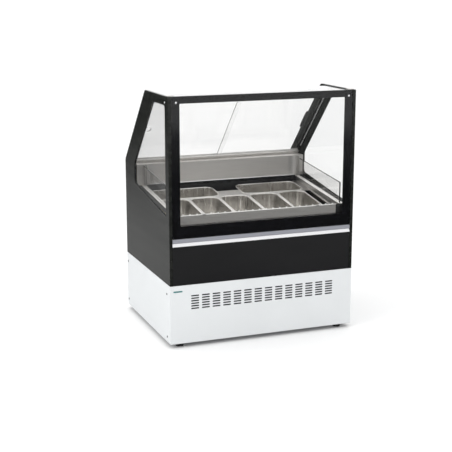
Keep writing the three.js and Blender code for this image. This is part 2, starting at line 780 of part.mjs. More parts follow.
function sideGuards() {
  const sheet = roundedOutline([
    [GUARD.front, rimHeight(GUARD.front) + GAP, 2],
    [GUARD.rear, rimHeight(GUARD.rear) + GAP, 2],
    [GUARD.rear, GUARD.rearTop, 3],
    [GUARD.front, GUARD.frontTop, 5],
  ]);
  for (const [side, sign] of SIDES) {
    part(`side_guard_${side}`, alongX(sheet, onSide(sign, ...GUARD.x), 2), glass());
  }
}

// ---- The well -----------------------------------------------------------------------------------
function panGeometry() {
  const halfX = PAN.width / 2;
  const halfY = PAN.length / 2;
  const wallX = halfX - PAN.rim;
  const wallY = halfY - PAN.rim;
  const t = PAN.sheet;
  return stackedRings([
    roundedRing(wallX - PAN.taper, wallY - PAN.taper, PAN.corner - 4, -PAN.depth),
    roundedRing(wallX, wallY, PAN.corner, -t),
    roundedRing(halfX, halfY, PAN.corner, -t),
    roundedRing(halfX, halfY, PAN.corner, 0),
    roundedRing(wallX - t, wallY - t, PAN.corner - t, 0),
    roundedRing(wallX - PAN.taper - t, wallY - PAN.taper - t, PAN.corner - 4 - t, t - PAN.depth),
  ]);
}

// Where each pan's middle lies on the deck, and whether it is turned to lie along X.
function panPlaces() {
  const places = [];
  for (let i = 0; i < FRONT_PANS; i += 1) {
    places.push({ x: FIRST_PAN_X + i * PAN_PITCH, y: PAN.length / 2, across: false });
  }
  for (const x of REAR_PAN_X) {
    places.push({ x, y: PAN.length + ROW_GAP + PAN.width / 2, across: true });
  }
  return places;
}

// The grid is open along its right edge for the returning air, and its rear row lies between two arms.
const GRID = { front: -2, ledge: 5, slot: [399, 433], slotInset: 6, arms: [-432, 405], bridge: 82 };

function pansAndGrid() {
  const gridTop = -GRID_DROP;
  const gridEnd = PAN.length + ROW_GAP + PAN.width;
  const gridZ = [gridTop - GRID_THICKNESS, gridTop];
  const plate = box([-WELL.x + GAP, WELL.x - GAP], [GRID.front, gridEnd], gridZ);
  const opening = (x, y, corner) => alongZ(rectangle(x, y, corner), [gridZ[0] - 1, 0], 2);
  const openings = [
    opening(GRID.slot, [GRID.slotInset, PAN.length - GRID.slotInset], 0),
    opening(GRID.arms, [PAN.length + GRID.bridge, gridEnd + 1], 0),
  ];
  panPlaces().forEach(({ x, y, across }, i) => {
    const pan = part(`pan_${i + 1}`, panGeometry(), stainless(), deck);
    pan.position.set(x, y, 0);
    if (across) pan.rotation.z = Math.PI / 2;
    const [sizeX, sizeY] = across ? [PAN.length, PAN.width] : [PAN.width, PAN.length];
    const [reachX, reachY] = [sizeX / 2 - GRID.ledge, sizeY / 2 - GRID.ledge];
    openings.push(opening([x - reachX, x + reachX], [y - reachY, y + reachY], PAN.corner));
  });
  part("pan_support_grid", cut(plate, ...openings), stainless(), deck);
}

const DUCT = { y: [RISER_Y + 4, RISER_Y + 6], bottom: 520 };
const OUTLET = { columns: 18, rows: 1, length: 40, height: 13, pitchX: 46, pitchZ: 0, z: 714.5 };
const EVAPORATOR = { x: [-300, 120], y: [-120, 90], z: [412, 492], fins: 22, fin: 2, runner: 10 };
const FAN_PLATE = 3;
const AXLE = { radius: 5, length: 6 };
const EVAPORATOR_FAN = { x: -90, z: 452, radius: 34, blades: 5 };
const EVAPORATOR_FAN_DEPTH = 22;

function airCircuit() {
  const baffle = box([-WELL.x + GAP, WELL.x - GAP], DUCT.y, [DUCT.bottom, RISER_BOTTOM - 1.2]);
  const outlets = slotCutters(OUTLET, [DUCT.y[0] - 1, DUCT.y[1] + 1]);
  part("air_outlet_grille", cut(baffle, ...outlets), blackPlastic());

  const { x, y, z, runner } = EVAPORATOR;
  const standing = WELL.floor + GAP;
  const fins = finShape(x, z, EVAPORATOR.fins, EVAPORATOR.fin);
  const runners = [x[0] + runner, x[1] - 2 * runner].map((start) =>
    box([start, start + runner], y, [standing, z[0] + 1]),
  );
  const back = y[1] + FAN_PLATE;
  const plate = box(x, [y[1] - 1, back], [standing, z[1]]);
  const axle = cylinderY(AXLE.radius, [back - 1, back + AXLE.length], 10);
  axle.translate(EVAPORATOR_FAN.x, 0, EVAPORATOR_FAN.z);
  const coil = join(alongY(fins, y), ...runners, plate, axle);
  part("evaporator_coil", coil, aluminium());
  const fanFront = back + AXLE.length + GAP;
  fan("evaporator_fan", EVAPORATOR_FAN, [fanFront, fanFront + EVAPORATOR_FAN_DEPTH]);
}

// Copper suction line, from under the tub down to the crown of the compressor.
const PIPE_RADIUS = 6;

function refrigerantPipe() {
  const { x, y } = COMPRESSOR;
  const route = new THREE.CatmullRomCurve3([
    new THREE.Vector3(x, y, 212),
    new THREE.Vector3(x, y, 245),
    new THREE.Vector3(x + 15, y - 30, 285),
    new THREE.Vector3(x + 80, y - 100, 302),
    new THREE.Vector3(x + 130, y - 150, 312),
  ]);
  const section = new THREE.Shape();
  section.absarc(0, 0, PIPE_RADIUS, 0, 2 * Math.PI);
  const options = { steps: 12, curveSegments: 4, bevelEnabled: false, extrudePath: route };
  part("refrigerant_pipe", new THREE.ExtrudeGeometry(section, options), copper());
}

baseTray();
basePanels();
feet();
condensingUnit();
insulatedTub();
tankLiner();
frontLip();
frontFascia();
sidePanels();
frontGlass();
glassCatches();
topOfDisplay();
doorTracks();
leftDoor();
rightDoor();
rearCovers();
controls();
sideGuards();
pansAndGrid();
airCircuit();
refrigerantPipe();

export default cabinet;
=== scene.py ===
"""Ice cream dipping cabinet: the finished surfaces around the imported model.

Lengths in this file are millimetres, turned into Blender's metres by MM where a mesh is made.
+X is the customer's right, -Y the customer's side (front), +Z up.
"""

import math

import bmesh
import bpy
from mathutils import Matrix, Vector

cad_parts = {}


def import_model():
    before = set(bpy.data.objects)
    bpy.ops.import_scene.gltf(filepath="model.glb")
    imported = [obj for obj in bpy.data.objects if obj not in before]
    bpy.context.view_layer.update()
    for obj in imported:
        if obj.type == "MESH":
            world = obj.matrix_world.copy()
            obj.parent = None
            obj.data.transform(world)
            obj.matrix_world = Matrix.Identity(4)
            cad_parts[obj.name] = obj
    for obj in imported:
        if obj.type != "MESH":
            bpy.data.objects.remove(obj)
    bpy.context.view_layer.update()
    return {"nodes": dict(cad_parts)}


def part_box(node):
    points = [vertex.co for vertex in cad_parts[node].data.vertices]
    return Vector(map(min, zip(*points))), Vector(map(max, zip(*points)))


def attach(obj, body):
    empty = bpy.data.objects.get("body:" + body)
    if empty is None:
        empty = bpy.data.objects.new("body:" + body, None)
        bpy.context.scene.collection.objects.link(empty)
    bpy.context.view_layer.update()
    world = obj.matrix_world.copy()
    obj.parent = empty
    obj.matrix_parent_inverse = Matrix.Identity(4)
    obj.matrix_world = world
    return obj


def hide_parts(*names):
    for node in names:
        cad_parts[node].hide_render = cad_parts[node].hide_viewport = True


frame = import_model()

MM = 0.001

# ---- Shape of the cabinet that a node's box can't tell ----
SIDES = (("left", -1), ("right", 1))

DOOR_SLOPE = math.atan(1.05)
DOOR_TOP = (0.0, -74.5, 1215.0)
DOOR_THICKNESS = 5.0
INNER_DOOR = -6.0
OUTER_DOOR = 2.0

PAN_SLOPE = math.atan(0.14)
PAN_FRONT = (0.0, -345.0, 627.0)
PAN_LENGTH = 360.0
PAN_WIDTH = 165.0
PAN_DEPTH = 120.0
PAN_PITCH = 167.0
FIRST_PAN_X = -353.5
REAR_PAN_X = (-257.0, 230.0)
ROW_GAP = 4.0

FLANGE_HEIGHT = 703.4
FLANGE_RISE = 0.107


def rim_height(y):
    """The height of the well's side flanges, which rise to the rear."""
    return FLANGE_HEIGHT + FLANGE_RISE * y


# ---- Planes that flat pieces are drawn in: columns are the directions of u, v and w ----
X_AXIS, Y_AXIS, Z_AXIS = Vector((1, 0, 0)), Vector((0, 1, 0)), Vector((0, 0, 1))


def plane(u, v, w):
    return Matrix((u, v, w)).transposed().to_4x4()


def shift(x, y, z):
    return Matrix.Translation((x, y, z))


FACING_X = plane(Y_AXIS, Z_AXIS, X_AXIS)
FACING_Y = plane(X_AXIS, Z_AXIS, -Y_AXIS)
FACING_Z = plane(X_AXIS, Y_AXIS, Z_AXIS)
DECK = shift(*PAN_FRONT) @ Matrix.Rotation(PAN_SLOPE, 4, "X")
DOORS = shift(*DOOR_TOP) @ Matrix.Rotation(-DOOR_SLOPE, 4, "X")


# ---- Spans: (low, high) pairs along one axis ----
def extent(node):
    """A node's spans along X, Y and Z, in millimetres."""
    low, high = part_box(node)
    return [(low[i] / MM, high[i] / MM) for i in range(3)]


def middle(span):
    return (span[0] + span[1]) / 2


def about(centre, half):
    return (centre - half, centre + half)


def grown(span, by):
    return (span[0] - by, span[1] + by)


def negated(span):
    """A span of Y along FACING_Y's w, which runs the other way."""
    return (-span[1], -span[0])


def outer_end(span, sign):
    return span[0] if sign < 0 else span[1]


def shares(steps):
    """Evenly spaced numbers from 0 to 1."""
    return [i / steps for i in range(steps + 1)]


def sweep(start, end, steps):
    """Evenly spaced angles from start to end, given in degrees."""
    return [math.radians(start + (end - start) * share) for share in shares(steps)]


# ---- Materials ----
def with_settings(thing, **settings):
    for name, value in settings.items():
        setattr(thing, name, value)
    return thing


def fill(owner, socket, value):
    """Gives a socket a plain value, or a link from another node's output."""
    if isinstance(value, bpy.types.NodeSocket):
        owner.node_tree.links.new(value, socket)
    else:
        socket.default_value = value


def add_node(owner, kind, inputs, **settings):
    """Adds a shader node to a material or the world; its settings come before its inputs."""
    node = with_settings(owner.node_tree.nodes.new(f"ShaderNode{kind}"), **settings)
    for name, value in inputs.items():
        fill(owner, node.inputs[name], value)
    return node


def shader_of(mat):
    return mat.node_tree.nodes["Principled BSDF"]


def material(name, color, roughness, metallic=0.0, **sockets):
    """A Principled material; sockets are its other inputs, with _ for each space."""
    made = bpy.data.materials.new(name)
    made.use_nodes = True
    sockets.update(Base_Color=(*color, 1), Roughness=roughness, Metallic=metallic)
    for socket, value in sockets.items():
        shader_of(made).inputs[socket.replace("_", " ")].default_value = value
    return made


def coordinates(mat, stretch):
    place = add_node(mat, "TexCoord", {}).outputs["Object"]
    return add_node(mat, "Mapping", {"Vector": place, "Scale": stretch}).outputs["Vector"]


def noise(mat, scale, stretch=(1, 1, 1), detail=3.0, distortion=0.0):
    """A noise pattern in metres of the object; stretch below 1 draws it out along that axis."""
    sockets = {"Scale": scale, "Detail": detail, "Distortion": distortion}
    sockets["Vector"] = coordinates(mat, stretch)
    return add_node(mat, "TexNoise", sockets).outputs["Fac"]


def mapped(owner, pattern, low, high, start=0.3, end=0.7, smooth=False):
    """Spreads a pattern's values from start to end over low to high."""
    sockets = {"Value": pattern, "From Min": start, "From Max": end, "To Min": low, "To Max": high}
    course = "SMOOTHSTEP" if smooth else "LINEAR"
    return add_node(owner, "MapRange", sockets, interpolation_type=course).outputs["Result"]


def darker(color, share):
    return tuple(part * share for part in color)


def vary_color(mat, pattern, dark, light, start=0.3, end=0.7):
    share = mapped(mat, pattern, 0, 1, start, end)
    mix = add_node(mat, "Mix", {"Factor": share, "A": (*dark, 1), "B": (*light, 1)}, data_type="RGBA")
    fill(mat, shader_of(mat).inputs["Base Color"], mix.outputs["Result"])


def vary_roughness(mat, pattern, low, high):
    fill(mat, shader_of(mat).inputs["Roughness"], mapped(mat, pattern, low, high))


def relief(mat, pattern, height, strength=1.0):
    """Adds a bump of that height in millimetres, on top of any bump the material has."""
    sockets = {"Height": pattern, "Distance": height * MM, "Strength": strength}
    normal = shader_of(mat).inputs["Normal"]
    if normal.is_linked:
        sockets["Normal"] = normal.links[0].from_socket
    fill(mat, normal, add_node(mat, "Bump", sockets).outputs["Normal"])


def enamel(name, color):
    """Powder coat: even colour and faint orange peel."""
    mat = material(name, color, 0.4, Coat_Weight=0.12, Coat_Roughness=0.2)
    vary_color(mat, noise(mat, 3.5, detail=5), darker(color, 0.965), color)
    vary_roughness(mat, noise(mat, 14, detail=4), 0.34, 0.46)
    relief(mat, noise(mat, 420, detail=1), 0.05, 0.5)
    relief(mat, noise(mat, 2.2, detail=0), 0.6, 0.25)
    return mat


def laminate(name, dark, light, roughness, along=(1, 0.16, 5), specular=0.5):
    """Black laminate with a faint streaked figure."""
    mat = material(name, dark, roughness, Specular_IOR_Level=specular)
    vary_color(mat, noise(mat, 7, along, detail=4, distortion=0.6), dark, light, 0.25, 0.8)
    vary_roughness(mat, noise(mat, 16, along), roughness * 0.95, roughness * 1.05)
    relief(mat, noise(mat, 160, along), 0.02, 0.5)
    return mat


def brushed(name, dark, light, roughness, along, anisotropy=0.45, metallic=1.0, grain=500, **sockets):
    """Brushed metal with lines along the axis of the small stretch, less metallic under an oxide layer."""
    mat = material(name, light, roughness, metallic, Anisotropic=anisotropy, **sockets)
    vary_color(mat, noise(mat, grain, along), dark, light)
    vary_roughness(mat, noise(mat, grain * 1.8, along, detail=2), roughness * 0.8, roughness * 1.25)
    relief(mat, noise(mat, 700, along, detail=2), 0.008, 0.4)
    return mat


def plastic(name, color, roughness):
    """Fine moulded texture."""
    mat = material(name, color, roughness)
    vary_color(mat, noise(mat, 40), darker(color, 0.85), color)
    vary_roughness(mat, noise(mat, 70), roughness * 0.9, roughness * 1.1)
    relief(mat, noise(mat, 1500, detail=2), 0.04, 0.6)
    return mat


def arithmetic(mat, operation, first, second):
    return add_node(mat, "Math", {0: first, 1: second}, operation=operation).outputs["Value"]


def clear(name, color, roughness, ior):
    """Glass that mirrors and bends light, and lets lamps and soft light through to what is behind it."""
    mat = material(name, color, roughness, IOR=ior, Transmission_Weight=1.0)
    relief(mat, noise(mat, 3, detail=0), 0.05, 0.04)
    vary_color(mat, noise(mat, 2, detail=2), darker(color, 0.985), color)
    ray = add_node(mat, "LightPath", {}).outputs
    mirrored = arithmetic(mat, "SUBTRACT", ray["Is Glossy Ray"], ray["Is Transmission Ray"])
    soft = arithmetic(mat, "MAXIMUM", ray["Is Diffuse Ray"], mirrored)
    open_to_light = arithmetic(mat, "MAXIMUM", ray["Is Shadow Ray"], soft)
    through = add_node(mat, "BsdfTransparent", {"Color": (*color, 1)}).outputs["BSDF"]
    sockets = {"Fac": open_to_light, 1: shader_of(mat).outputs["BSDF"], 2: through}
    mix = add_node(mat, "MixShader", sockets)
    fill(mat, mat.node_tree.nodes["Material Output"].inputs["Surface"], mix.outputs["Shader"])
    return mat


def galvanised(name):
    """Zinc-coated sheet with its faint crystals."""
    mat = material(name, (0.42, 0.44, 0.46), 0.42, 1.0)
    crystals = add_node(mat, "TexVoronoi", {"Scale": 55, "Vector": coordinates(mat, (1, 1, 1))})
    vary_color(mat, crystals.outputs["Color"], (0.34, 0.36, 0.38), (0.52, 0.54, 0.56), 0.1, 0.9)
    vary_roughness(mat, noise(mat, 60), 0.32, 0.5)
    return mat


def glowing(name, color, strength):
    mat = material(name, color, 0.45, Emission_Color=(*color, 1), Emission_Strength=strength)
    vary_roughness(mat, noise(mat, 40), 0.4, 0.5)
    return mat


ALONG_X = (0.012, 1, 1)
ALONG_Y = (1, 0.012, 1)
ALONG_Z = (1, 1, 0.012)

WHITE = enamel("white_enamel", (0.742, 0.762, 0.772))
BLACK_SIDE = laminate("black_laminate", (0.005, 0.006, 0.005), (0.023, 0.024, 0.022), 0.12)
BLACK_FRONT = laminate("black_front", (0.008, 0.008, 0.009), (0.011, 0.011, 0.012), 0.3, (0.3, 1, 1))
# The side boards' inner faces: a darker, duller copy of the black laminate, painted shade of the cabinet's
# inside.
BLACK_INSIDE_SHADE = laminate("matt_inside_painted_shade", (0.005, 0.006, 0.005), (0.010, 0.011, 0.010), 0.3, specular=0.05)
BORDER = laminate("glass_border", (0.002, 0.002, 0.003), (0.004, 0.004, 0.005), 0.04, (1, 1, 0.3))
DULL = {"anisotropy": 0, "metallic": 0, "Specular_IOR_Level": 0.08}
DARK_ANODISED = brushed("dark_anodised", (0.008, 0.008, 0.009), (0.014, 0.014, 0.015), 0.4, ALONG_Y, **DULL)
BLACK_PLASTIC = plastic("black_plastic", (0.018, 0.018, 0.019), 0.5)
GREY_PLASTIC = plastic("grey_plastic", (0.085, 0.090, 0.097), 0.5)
RUBBER = plastic("rubber", (0.012, 0.012, 0.013), 0.8)
FOAM = plastic("insulating_foam", (0.74, 0.66, 0.42), 0.9)
STEEL_X = brushed("brushed_steel_across", (0.62, 0.60, 0.58), (0.71, 0.69, 0.665), 0.4, ALONG_X)
STEEL_Y = brushed("brushed_steel_lengthways", (0.56, 0.55, 0.535), (0.66, 0.65, 0.635), 0.36, ALONG_Y)
PAN_STEEL = brushed("pan_steel", (0.70, 0.685, 0.66), (0.85, 0.835, 0.81), 0.22, ALONG_Z, 0.2, grain=70)
PAN_FLOOR = brushed("pan_floor", (0.76, 0.745, 0.72), (0.82, 0.805, 0.78), 0.24, ALONG_Y, 0.2, grain=350)
SATIN_ALU = brushed("satin_aluminium", (0.37, 0.38, 0.425), (0.41, 0.42, 0.465), 0.5, ALONG_X, 0.3, 0.6)
BRIGHT_ALU = brushed("bright_aluminium", (0.80, 0.805, 0.82), (0.86, 0.865, 0.88), 0.2, ALONG_X, 0.1, 0.55)
POLISHED = brushed("polished_edge", (0.84, 0.83, 0.81), (0.93, 0.92, 0.90), 0.3, ALONG_X, 0.1, 0.6)
# Black foam behind the front slots: a dust filter, whose black also paints the shade inside the base.
FILTER_AND_SHADE = plastic("filter_foam_and_painted_shade", (0.012, 0.012, 0.013), 0.9)
# Condenser fins near black: black-coated fins, and painted shade of the base's inside seen through its
# vents.
DARK_FINS_AND_SHADE = plastic("coated_fins_and_painted_shade", (0.03, 0.031, 0.033), 0.5)
FIN_ALU = brushed("fin_aluminium", (0.55, 0.56, 0.57), (0.66, 0.67, 0.68), 0.4, ALONG_Z)
COPPER = brushed("copper", (0.55, 0.26, 0.15), (0.66, 0.34, 0.20), 0.3, ALONG_Z, 0.1)
GALVANISED = galvanised("galvanised_sheet")
GLASS = clear("tempered_glass", (0.994, 0.997, 0.996), 0.0, 1.25)
ACRYLIC = clear("acrylic", (0.99, 0.99, 0.99), 0.01, 1.49)
GUARD_ACRYLIC = clear("guard_acrylic", (0.885, 0.88, 0.87), 0.02, 1.45)
# Dark edging trim, and the dark paint on clear panes' cut edges that stands for the shade a clear edge
# shows.
EDGING_AND_EDGE_SHADE = plastic("dark_edging_and_painted_edge_shade", (0.05, 0.05, 0.048), 0.25)
LAMP = glowing("lamp_diffuser", (1.0, 0.98, 0.95), 1.5)
DISPLAY = glowing("display_digits", (0.9, 0.05, 0.02), 2.5)
BADGE = enamel("badge_enamel", (0.05, 0.20, 0.20))


# ---- Outlines ----
def arc_loop(corners, steps=6):
    """A closed outline of (u, v, setback) corners; a true arc starts and ends that far from each corner."""
    loop = []
    for i, (u, v, setback) in enumerate(corners):
        if setback <= 0:
            loop.append((u, v))
            continue
        corner = Vector((u, v))
        to_last = (Vector(corners[i - 1][:2]) - corner).normalized()
        to_next = (Vector(corners[(i + 1) % len(corners)][:2]) - corner).normalized()
        half = to_last.angle(to_next) / 2
        centre = corner + (to_last + to_next).normalized() * (setback / math.cos(half))
        start = corner + to_last * setback - centre
        end = corner + to_next * setback - centre
        turn = start.angle_signed(end)
        for share in shares(steps):
            angle = -turn * share
            c, s = math.cos(angle), math.sin(angle)
            loop.append((centre.x + start.x * c - start.y * s, centre.y + start.x * s + start.y * c))
    return loop


def rectangle(u, v, radius=0.0, steps=6):
    corners = ((u[0], v[0]), (u[1], v[0]), (u[1], v[1]), (u[0], v[1]))
    return arc_loop([(*corner, radius) for corner in corners], steps)


def circle(u, v, radius, steps=32):
    return [(u + radius * math.cos(a), v + radius * math.sin(a)) for a in sweep(0, 360, steps)[:-1]]


# ---- Meshes ----
def added(name, data):
    """Puts a mesh, curve, lamp or camera into the scene."""
    thing = bpy.data.objects.new(name, data)
    bpy.context.scene.collection.objects.link(thing)
    return thing


def meshed(bm):
    mesh = bpy.data.meshes.new("made")
    bm.to_mesh(mesh)
    bm.free()
    return mesh


def joined(meshes):
    """One mesh of several."""
    bm = bmesh.new()
    for mesh in meshes:
        bm.from_mesh(mesh)
    return meshed(bm)


def welded(mesh):
    bm = bmesh.new()
    bm.from_mesh(mesh)
    bmesh.ops.remove_doubles(bm, verts=bm.verts, dist=1e-6)
    bmesh.ops.dissolve_degenerate(bm, dist=1e-7, edges=bm.edges)
    bmesh.ops.recalc_face_normals(bm, faces=bm.faces)
    return meshed(bm)


def placed(mesh, where):
    """Moves a mesh made about the origin to a place given in millimetres."""
    in_metres = where.copy()
    in_metres.translation = where.translation * MM
    mesh.transform(in_metres)
    if in_metres.determinant() < 0:
        mesh.flip_normals()
    return mesh


def drawn(curve):
    """The mesh that a curve draws."""
    line = added("line", curve)
    graph = bpy.context.evaluated_depsgraph_get()
    mesh = bpy.data.meshes.new_from_object(line.evaluated_get(graph))
    bpy.data.objects.remove(line)
    bpy.data.curves.remove(curve)
    return mesh


def plate(where, loops, depth, edge=0.4, rounds=2):
    """A flat piece with holes: closed outlines in the plane's (u, v), from depth[0] to depth[1] along w."""
    curve = bpy.data.curves.new("outline", "CURVE")
    with_settings(curve, dimensions="2D", fill_mode="BOTH", offset=-edge * MM)
    with_settings(curve, bevel_depth=edge * MM, bevel_resolution=rounds - 1)
    curve.extrude = ((depth[1] - depth[0]) / 2 - edge) * MM
    for loop in loops:
        spline = curve.splines.new("POLY")
        spline.points.add(len(loop) - 1)
        for point, (u, v) in zip(spline.points, loop):
            point.co = (u * MM, v * MM, 0, 1)
        spline.use_cyclic_u = True
    mesh = drawn(curve)
    mesh.transform(shift(0, 0, middle(depth) * MM))
    return placed(welded(mesh), where)


def tube(points, radius, smooth=False, sides=6):
    """A round bar or wire along points."""
    curve = bpy.data.curves.new("wire", "CURVE")
    with_settings(curve, dimensions="3D", use_fill_caps=True)
    with_settings(curve, bevel_depth=radius * MM, bevel_resolution=sides)
    spline = curve.splines.new("NURBS" if smooth else "POLY")
    spline.points.add(len(points) - 1)
    for stop, point in zip(spline.points, points):
        stop.co = (*(Vector(point) * MM), 1)
    if smooth:
        with_settings(spline, order_u=4, use_endpoint_u=True, resolution_u=6)
    return welded(drawn(curve))


def from_rings(rings):
    """A skin over rings of equally many points, capped at both ends."""
    bm = bmesh.new()
    rows = [[bm.verts.new(Vector(point) * MM) for point in ring] for ring in rings]
    for low, high in zip(rows, rows[1:]):
        for i in range(len(low)):
            bm.faces.new((low[i - 1], low[i], high[i], high[i - 1]))
    bm.faces.new(rows[0][::-1])
    bm.faces.new(rows[-1])
    return meshed(bm)


def bar(profile, span):
    """A straight profile of (y, z) points along X."""
    return from_rings([[(x, y, z) for y, z in profile] for x in span])


def turned(profile, steps=48):
    """A turned piece about its own Z from (radius, height) points; a radius of 0 closes it."""
    bm = bmesh.new()
    line = [bm.verts.new((radius * MM, 0, height * MM)) for radius, height in profile]
    edges = [bm.edges.new(pair) for pair in zip(line, line[1:])]
    full_turn = 2 * math.pi
    bmesh.ops.spin(bm, geom=line + edges, axis=(0, 0, 1), cent=(0, 0, 0), steps=steps, angle=full_turn)
    return welded(meshed(bm))


def block(x, y, z, edge=0.5, rounds=2):
    """A bar or block from its three spans, with rounded edges."""
    bm = bmesh.new()
    bmesh.ops.create_cube(bm, size=1)
    size = Vector((x[1] - x[0], y[1] - y[0], z[1] - z[0])) * MM
    bmesh.ops.scale(bm, vec=size, verts=bm.verts)
    bmesh.ops.translate(bm, vec=Vector((middle(x), middle(y), middle(z))) * MM, verts=bm.verts)
    bmesh.ops.bevel(bm, geom=bm.edges, offset=edge * MM, segments=rounds, affect="EDGES", profile=0.5)
    return meshed(bm)


# ---- Pieces ----
def modify(piece, kind, **settings):
    with_settings(piece.modifiers.new(kind.lower(), kind), **settings)


def shown(name, mesh, finish, replaces=(), body="cabinet"):
    """Puts a finished mesh into the scene: its material, its shading and the body it rides on."""
    mesh.name = name
    mesh.materials.append(finish)
    mesh.shade_smooth()
    mesh.set_sharp_from_angle(angle=math.radians(38))
    piece = added(name, mesh)
    modify(piece, "WEIGHTED_NORMAL", keep_sharp=True)
    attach(piece, body)
    if replaces:
        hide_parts(*replaces)
    return piece


def dressed(node, finish, edge=0.5, rounds=2):
    """A CAD node whose shape is right: it keeps its mesh and gets rounded edges and its material."""
    piece = frame["nodes"][node]
    piece.data.materials.clear()
    piece.data.materials.append(finish)
    piece.data.shade_smooth()
    modify(piece, "WELD", merge_threshold=1e-6)
    modify(piece, "DECIMATE", decimate_type="DISSOLVE", angle_limit=math.radians(0.5))
    sharp_edges = {"limit_method": "ANGLE", "angle_limit": math.radians(32)}
    modify(piece, "BEVEL", width=edge * MM, segments=rounds, **sharp_edges)
    modify(piece, "WEIGHTED_NORMAL", keep_sharp=True)


def second_finish(piece, finish, chosen):
    """Gives a second material to the faces whose normal passes a test."""
    piece.data.materials.append(finish)
    for face in piece.data.polygons:
        face.material_index = int(chosen(face.normal))


def screw_mesh(radius, height):
    """A pan-head screw about its own Z, with a round recess."""
    dome = [(0, height * 0.62), (radius * 0.22, height * 0.62), (radius * 0.24, height * 0.98)]
    for angle in sweep(90, 0, 5):
        dome.append((radius * (0.3 + 0.7 * math.cos(angle)), height * (0.25 + 0.75 * math.sin(angle))))
    dome += [(radius, -height * 0.2), (0, -height * 0.2)]
    return turned(dome, 20)


def screws(name, places, radius, height, normal, finish=PAN_STEEL, body="cabinet"):
    """A group of alike screw heads, joined in one piece, that stand on a face with that normal."""
    turn = Vector(normal).to_track_quat("Z", "Y").to_matrix().to_4x4()
    heads = [placed(screw_mesh(radius, height), shift(*place) @ turn) for place in places]
    shown(name, joined(heads), finish, body=body)


def rear_screws(name, face, across, heights):
    """The screws that hold a rear panel."""
    screws(name, [(u, face, v) for u in across for v in heights], 4.2, 1.6, Y_AXIS)


# ---- Camera, light and floor ----
def camera():
    eye = added("camera", with_settings(bpy.data.cameras.new("camera"), lens=85.1, sensor_width=36))
    eye.location = (-2.06023, -5.19955, 1.77568)
    down, turn = 12.77, -21.06
    eye.rotation_euler = (math.radians(90 - down), 0, math.radians(turn))
    bpy.context.scene.camera = eye


def blended(owner, share, first, second):
    return add_node(owner, "Mix", {"Factor": share, "A": first, "B": second}).outputs["Result"]


def world():
    """A white studio. Below the horizon, where only mirrored rays get, it darkens as a far floor does."""
    studio = bpy.data.worlds.new("studio")
    bpy.context.scene.world = studio
    studio.use_nodes = True
    place = add_node(studio, "TexCoord", {})
    direction = add_node(studio, "SeparateXYZ", {"Vector": place.outputs["Generated"]}).outputs
    behind, height = direction["Y"], direction["Z"]
    front_floor = mapped(studio, height, 0.06, 0.60, -0.145, -0.12, True)
    rear_floor = mapped(studio, height, 0.38, 0.03, -0.235, -0.12, True)
    wall = mapped(studio, behind, 1.0, 1.22, -0.3, 0.3, True)
    side = mapped(studio, behind, 0, 1, -0.3, 0.3, True)
    above = mapped(studio, height, 0, 1, -0.075, -0.055, True)
    below = blended(studio, side, front_floor, rear_floor)
    background = studio.node_tree.nodes["Background"]
    background.inputs["Color"].default_value = (1, 1, 1, 1)
    fill(studio, background.inputs["Strength"], blended(studio, above, below, wall))


def softbox(name, eye, aim, size, power):
    lamp = bpy.data.lights.new(name, "AREA")
    box = added(name, with_settings(lamp, shape="RECTANGLE", size=size[0], size_y=size[1], energy=power))
    box.location = eye
    box.rotation_euler = (Vector(aim) - Vector(eye)).to_track_quat("-Z", "Y").to_euler()
    box.visible_glossy = False
    box.visible_transmission = False


def floor():
    reach = 30
    bm = bmesh.new()
    bmesh.ops.create_grid(bm, x_segments=8, y_segments=8, size=reach)
    ground = added("floor", meshed(bm))
    ground.data.materials.append(material("floor_paper", (0.93, 0.93, 0.93), 0.9))
    ground.visible_glossy = False


camera()
world()
softbox("key", (-4.3, -1.7, 2.7), (0, 0, 0.4), (2.4, 2.4), 66)
softbox("fill", (2.0, -3.8, 2.4), (0, 0, 0.5), (2.0, 2.0), 3)
softbox("top", (0, 0.2, 3.6), (0, 0, 0.8), (2.0, 1.6), 15)
floor()
bpy.context.scene.view_settings.view_transform = "Standard"


# ---- Base ----
GRILLE = {"columns": 14, "rows": 6, "length": 42, "height": 7, "pitch": (56.75, 13.1), "centre": 231.5}
REAR_VENT = {"columns": 5, "rows": 8, "length": 90, "height": 6, "pitch": (110, 16), "centre": 190}
# Span of the black pad that paints the shade behind the front slots.
FILTER_AND_SHADE_X = (-412, 412)
FILTER_AND_SHADE_HALF_HEIGHT = 44
BASE_SCREWS = ((-330, 272), (-330, 50), (361, 273), (361, 56))
REAR_SHEET = (376, 378)
CABLE_GLAND = (400, 90)
BADGE_PLACE = ((-482, -436), (288.5, 295.5))


def slots(columns, rows, length, height, pitch, centre):
    """The outlines of a panel's air slots, with round ends."""
    outlines = []
    half_u, half_v = length / 2, height / 2
    for column in range(columns):
        u = (column - (columns - 1) / 2) * pitch[0]
        for row in range(rows):
            v = centre + (row - (rows - 1) / 2) * pitch[1]
            outlines.append(rectangle(about(u, half_u), about(v, half_v), half_v * 0.98, 4))
    return outlines


def base_front():
    node = "base_front_grille"
    x, y, z = extent(node)
    front = plate(FACING_Y, [rectangle(x, z, 1.5, 3), *slots(**GRILLE)], negated(y), 0.5)
    shown(f"{node}_sheet", front, WHITE, [node])


def base_side(side, sign):
    node = f"base_{side}_panel"
    x, y, z = extent(node)
    skin = plate(FACING_X, [rectangle(y, z, 1.5, 3)], x, 0.6)
    shown(f"{node}_sheet", skin, WHITE, [node])
    spots = [(outer_end(x, sign), *spot) for spot in BASE_SCREWS]
    screws(f"base_{side}_screws", spots, 5.5, 1.6, (sign, 0, 0), DARK_ANODISED)


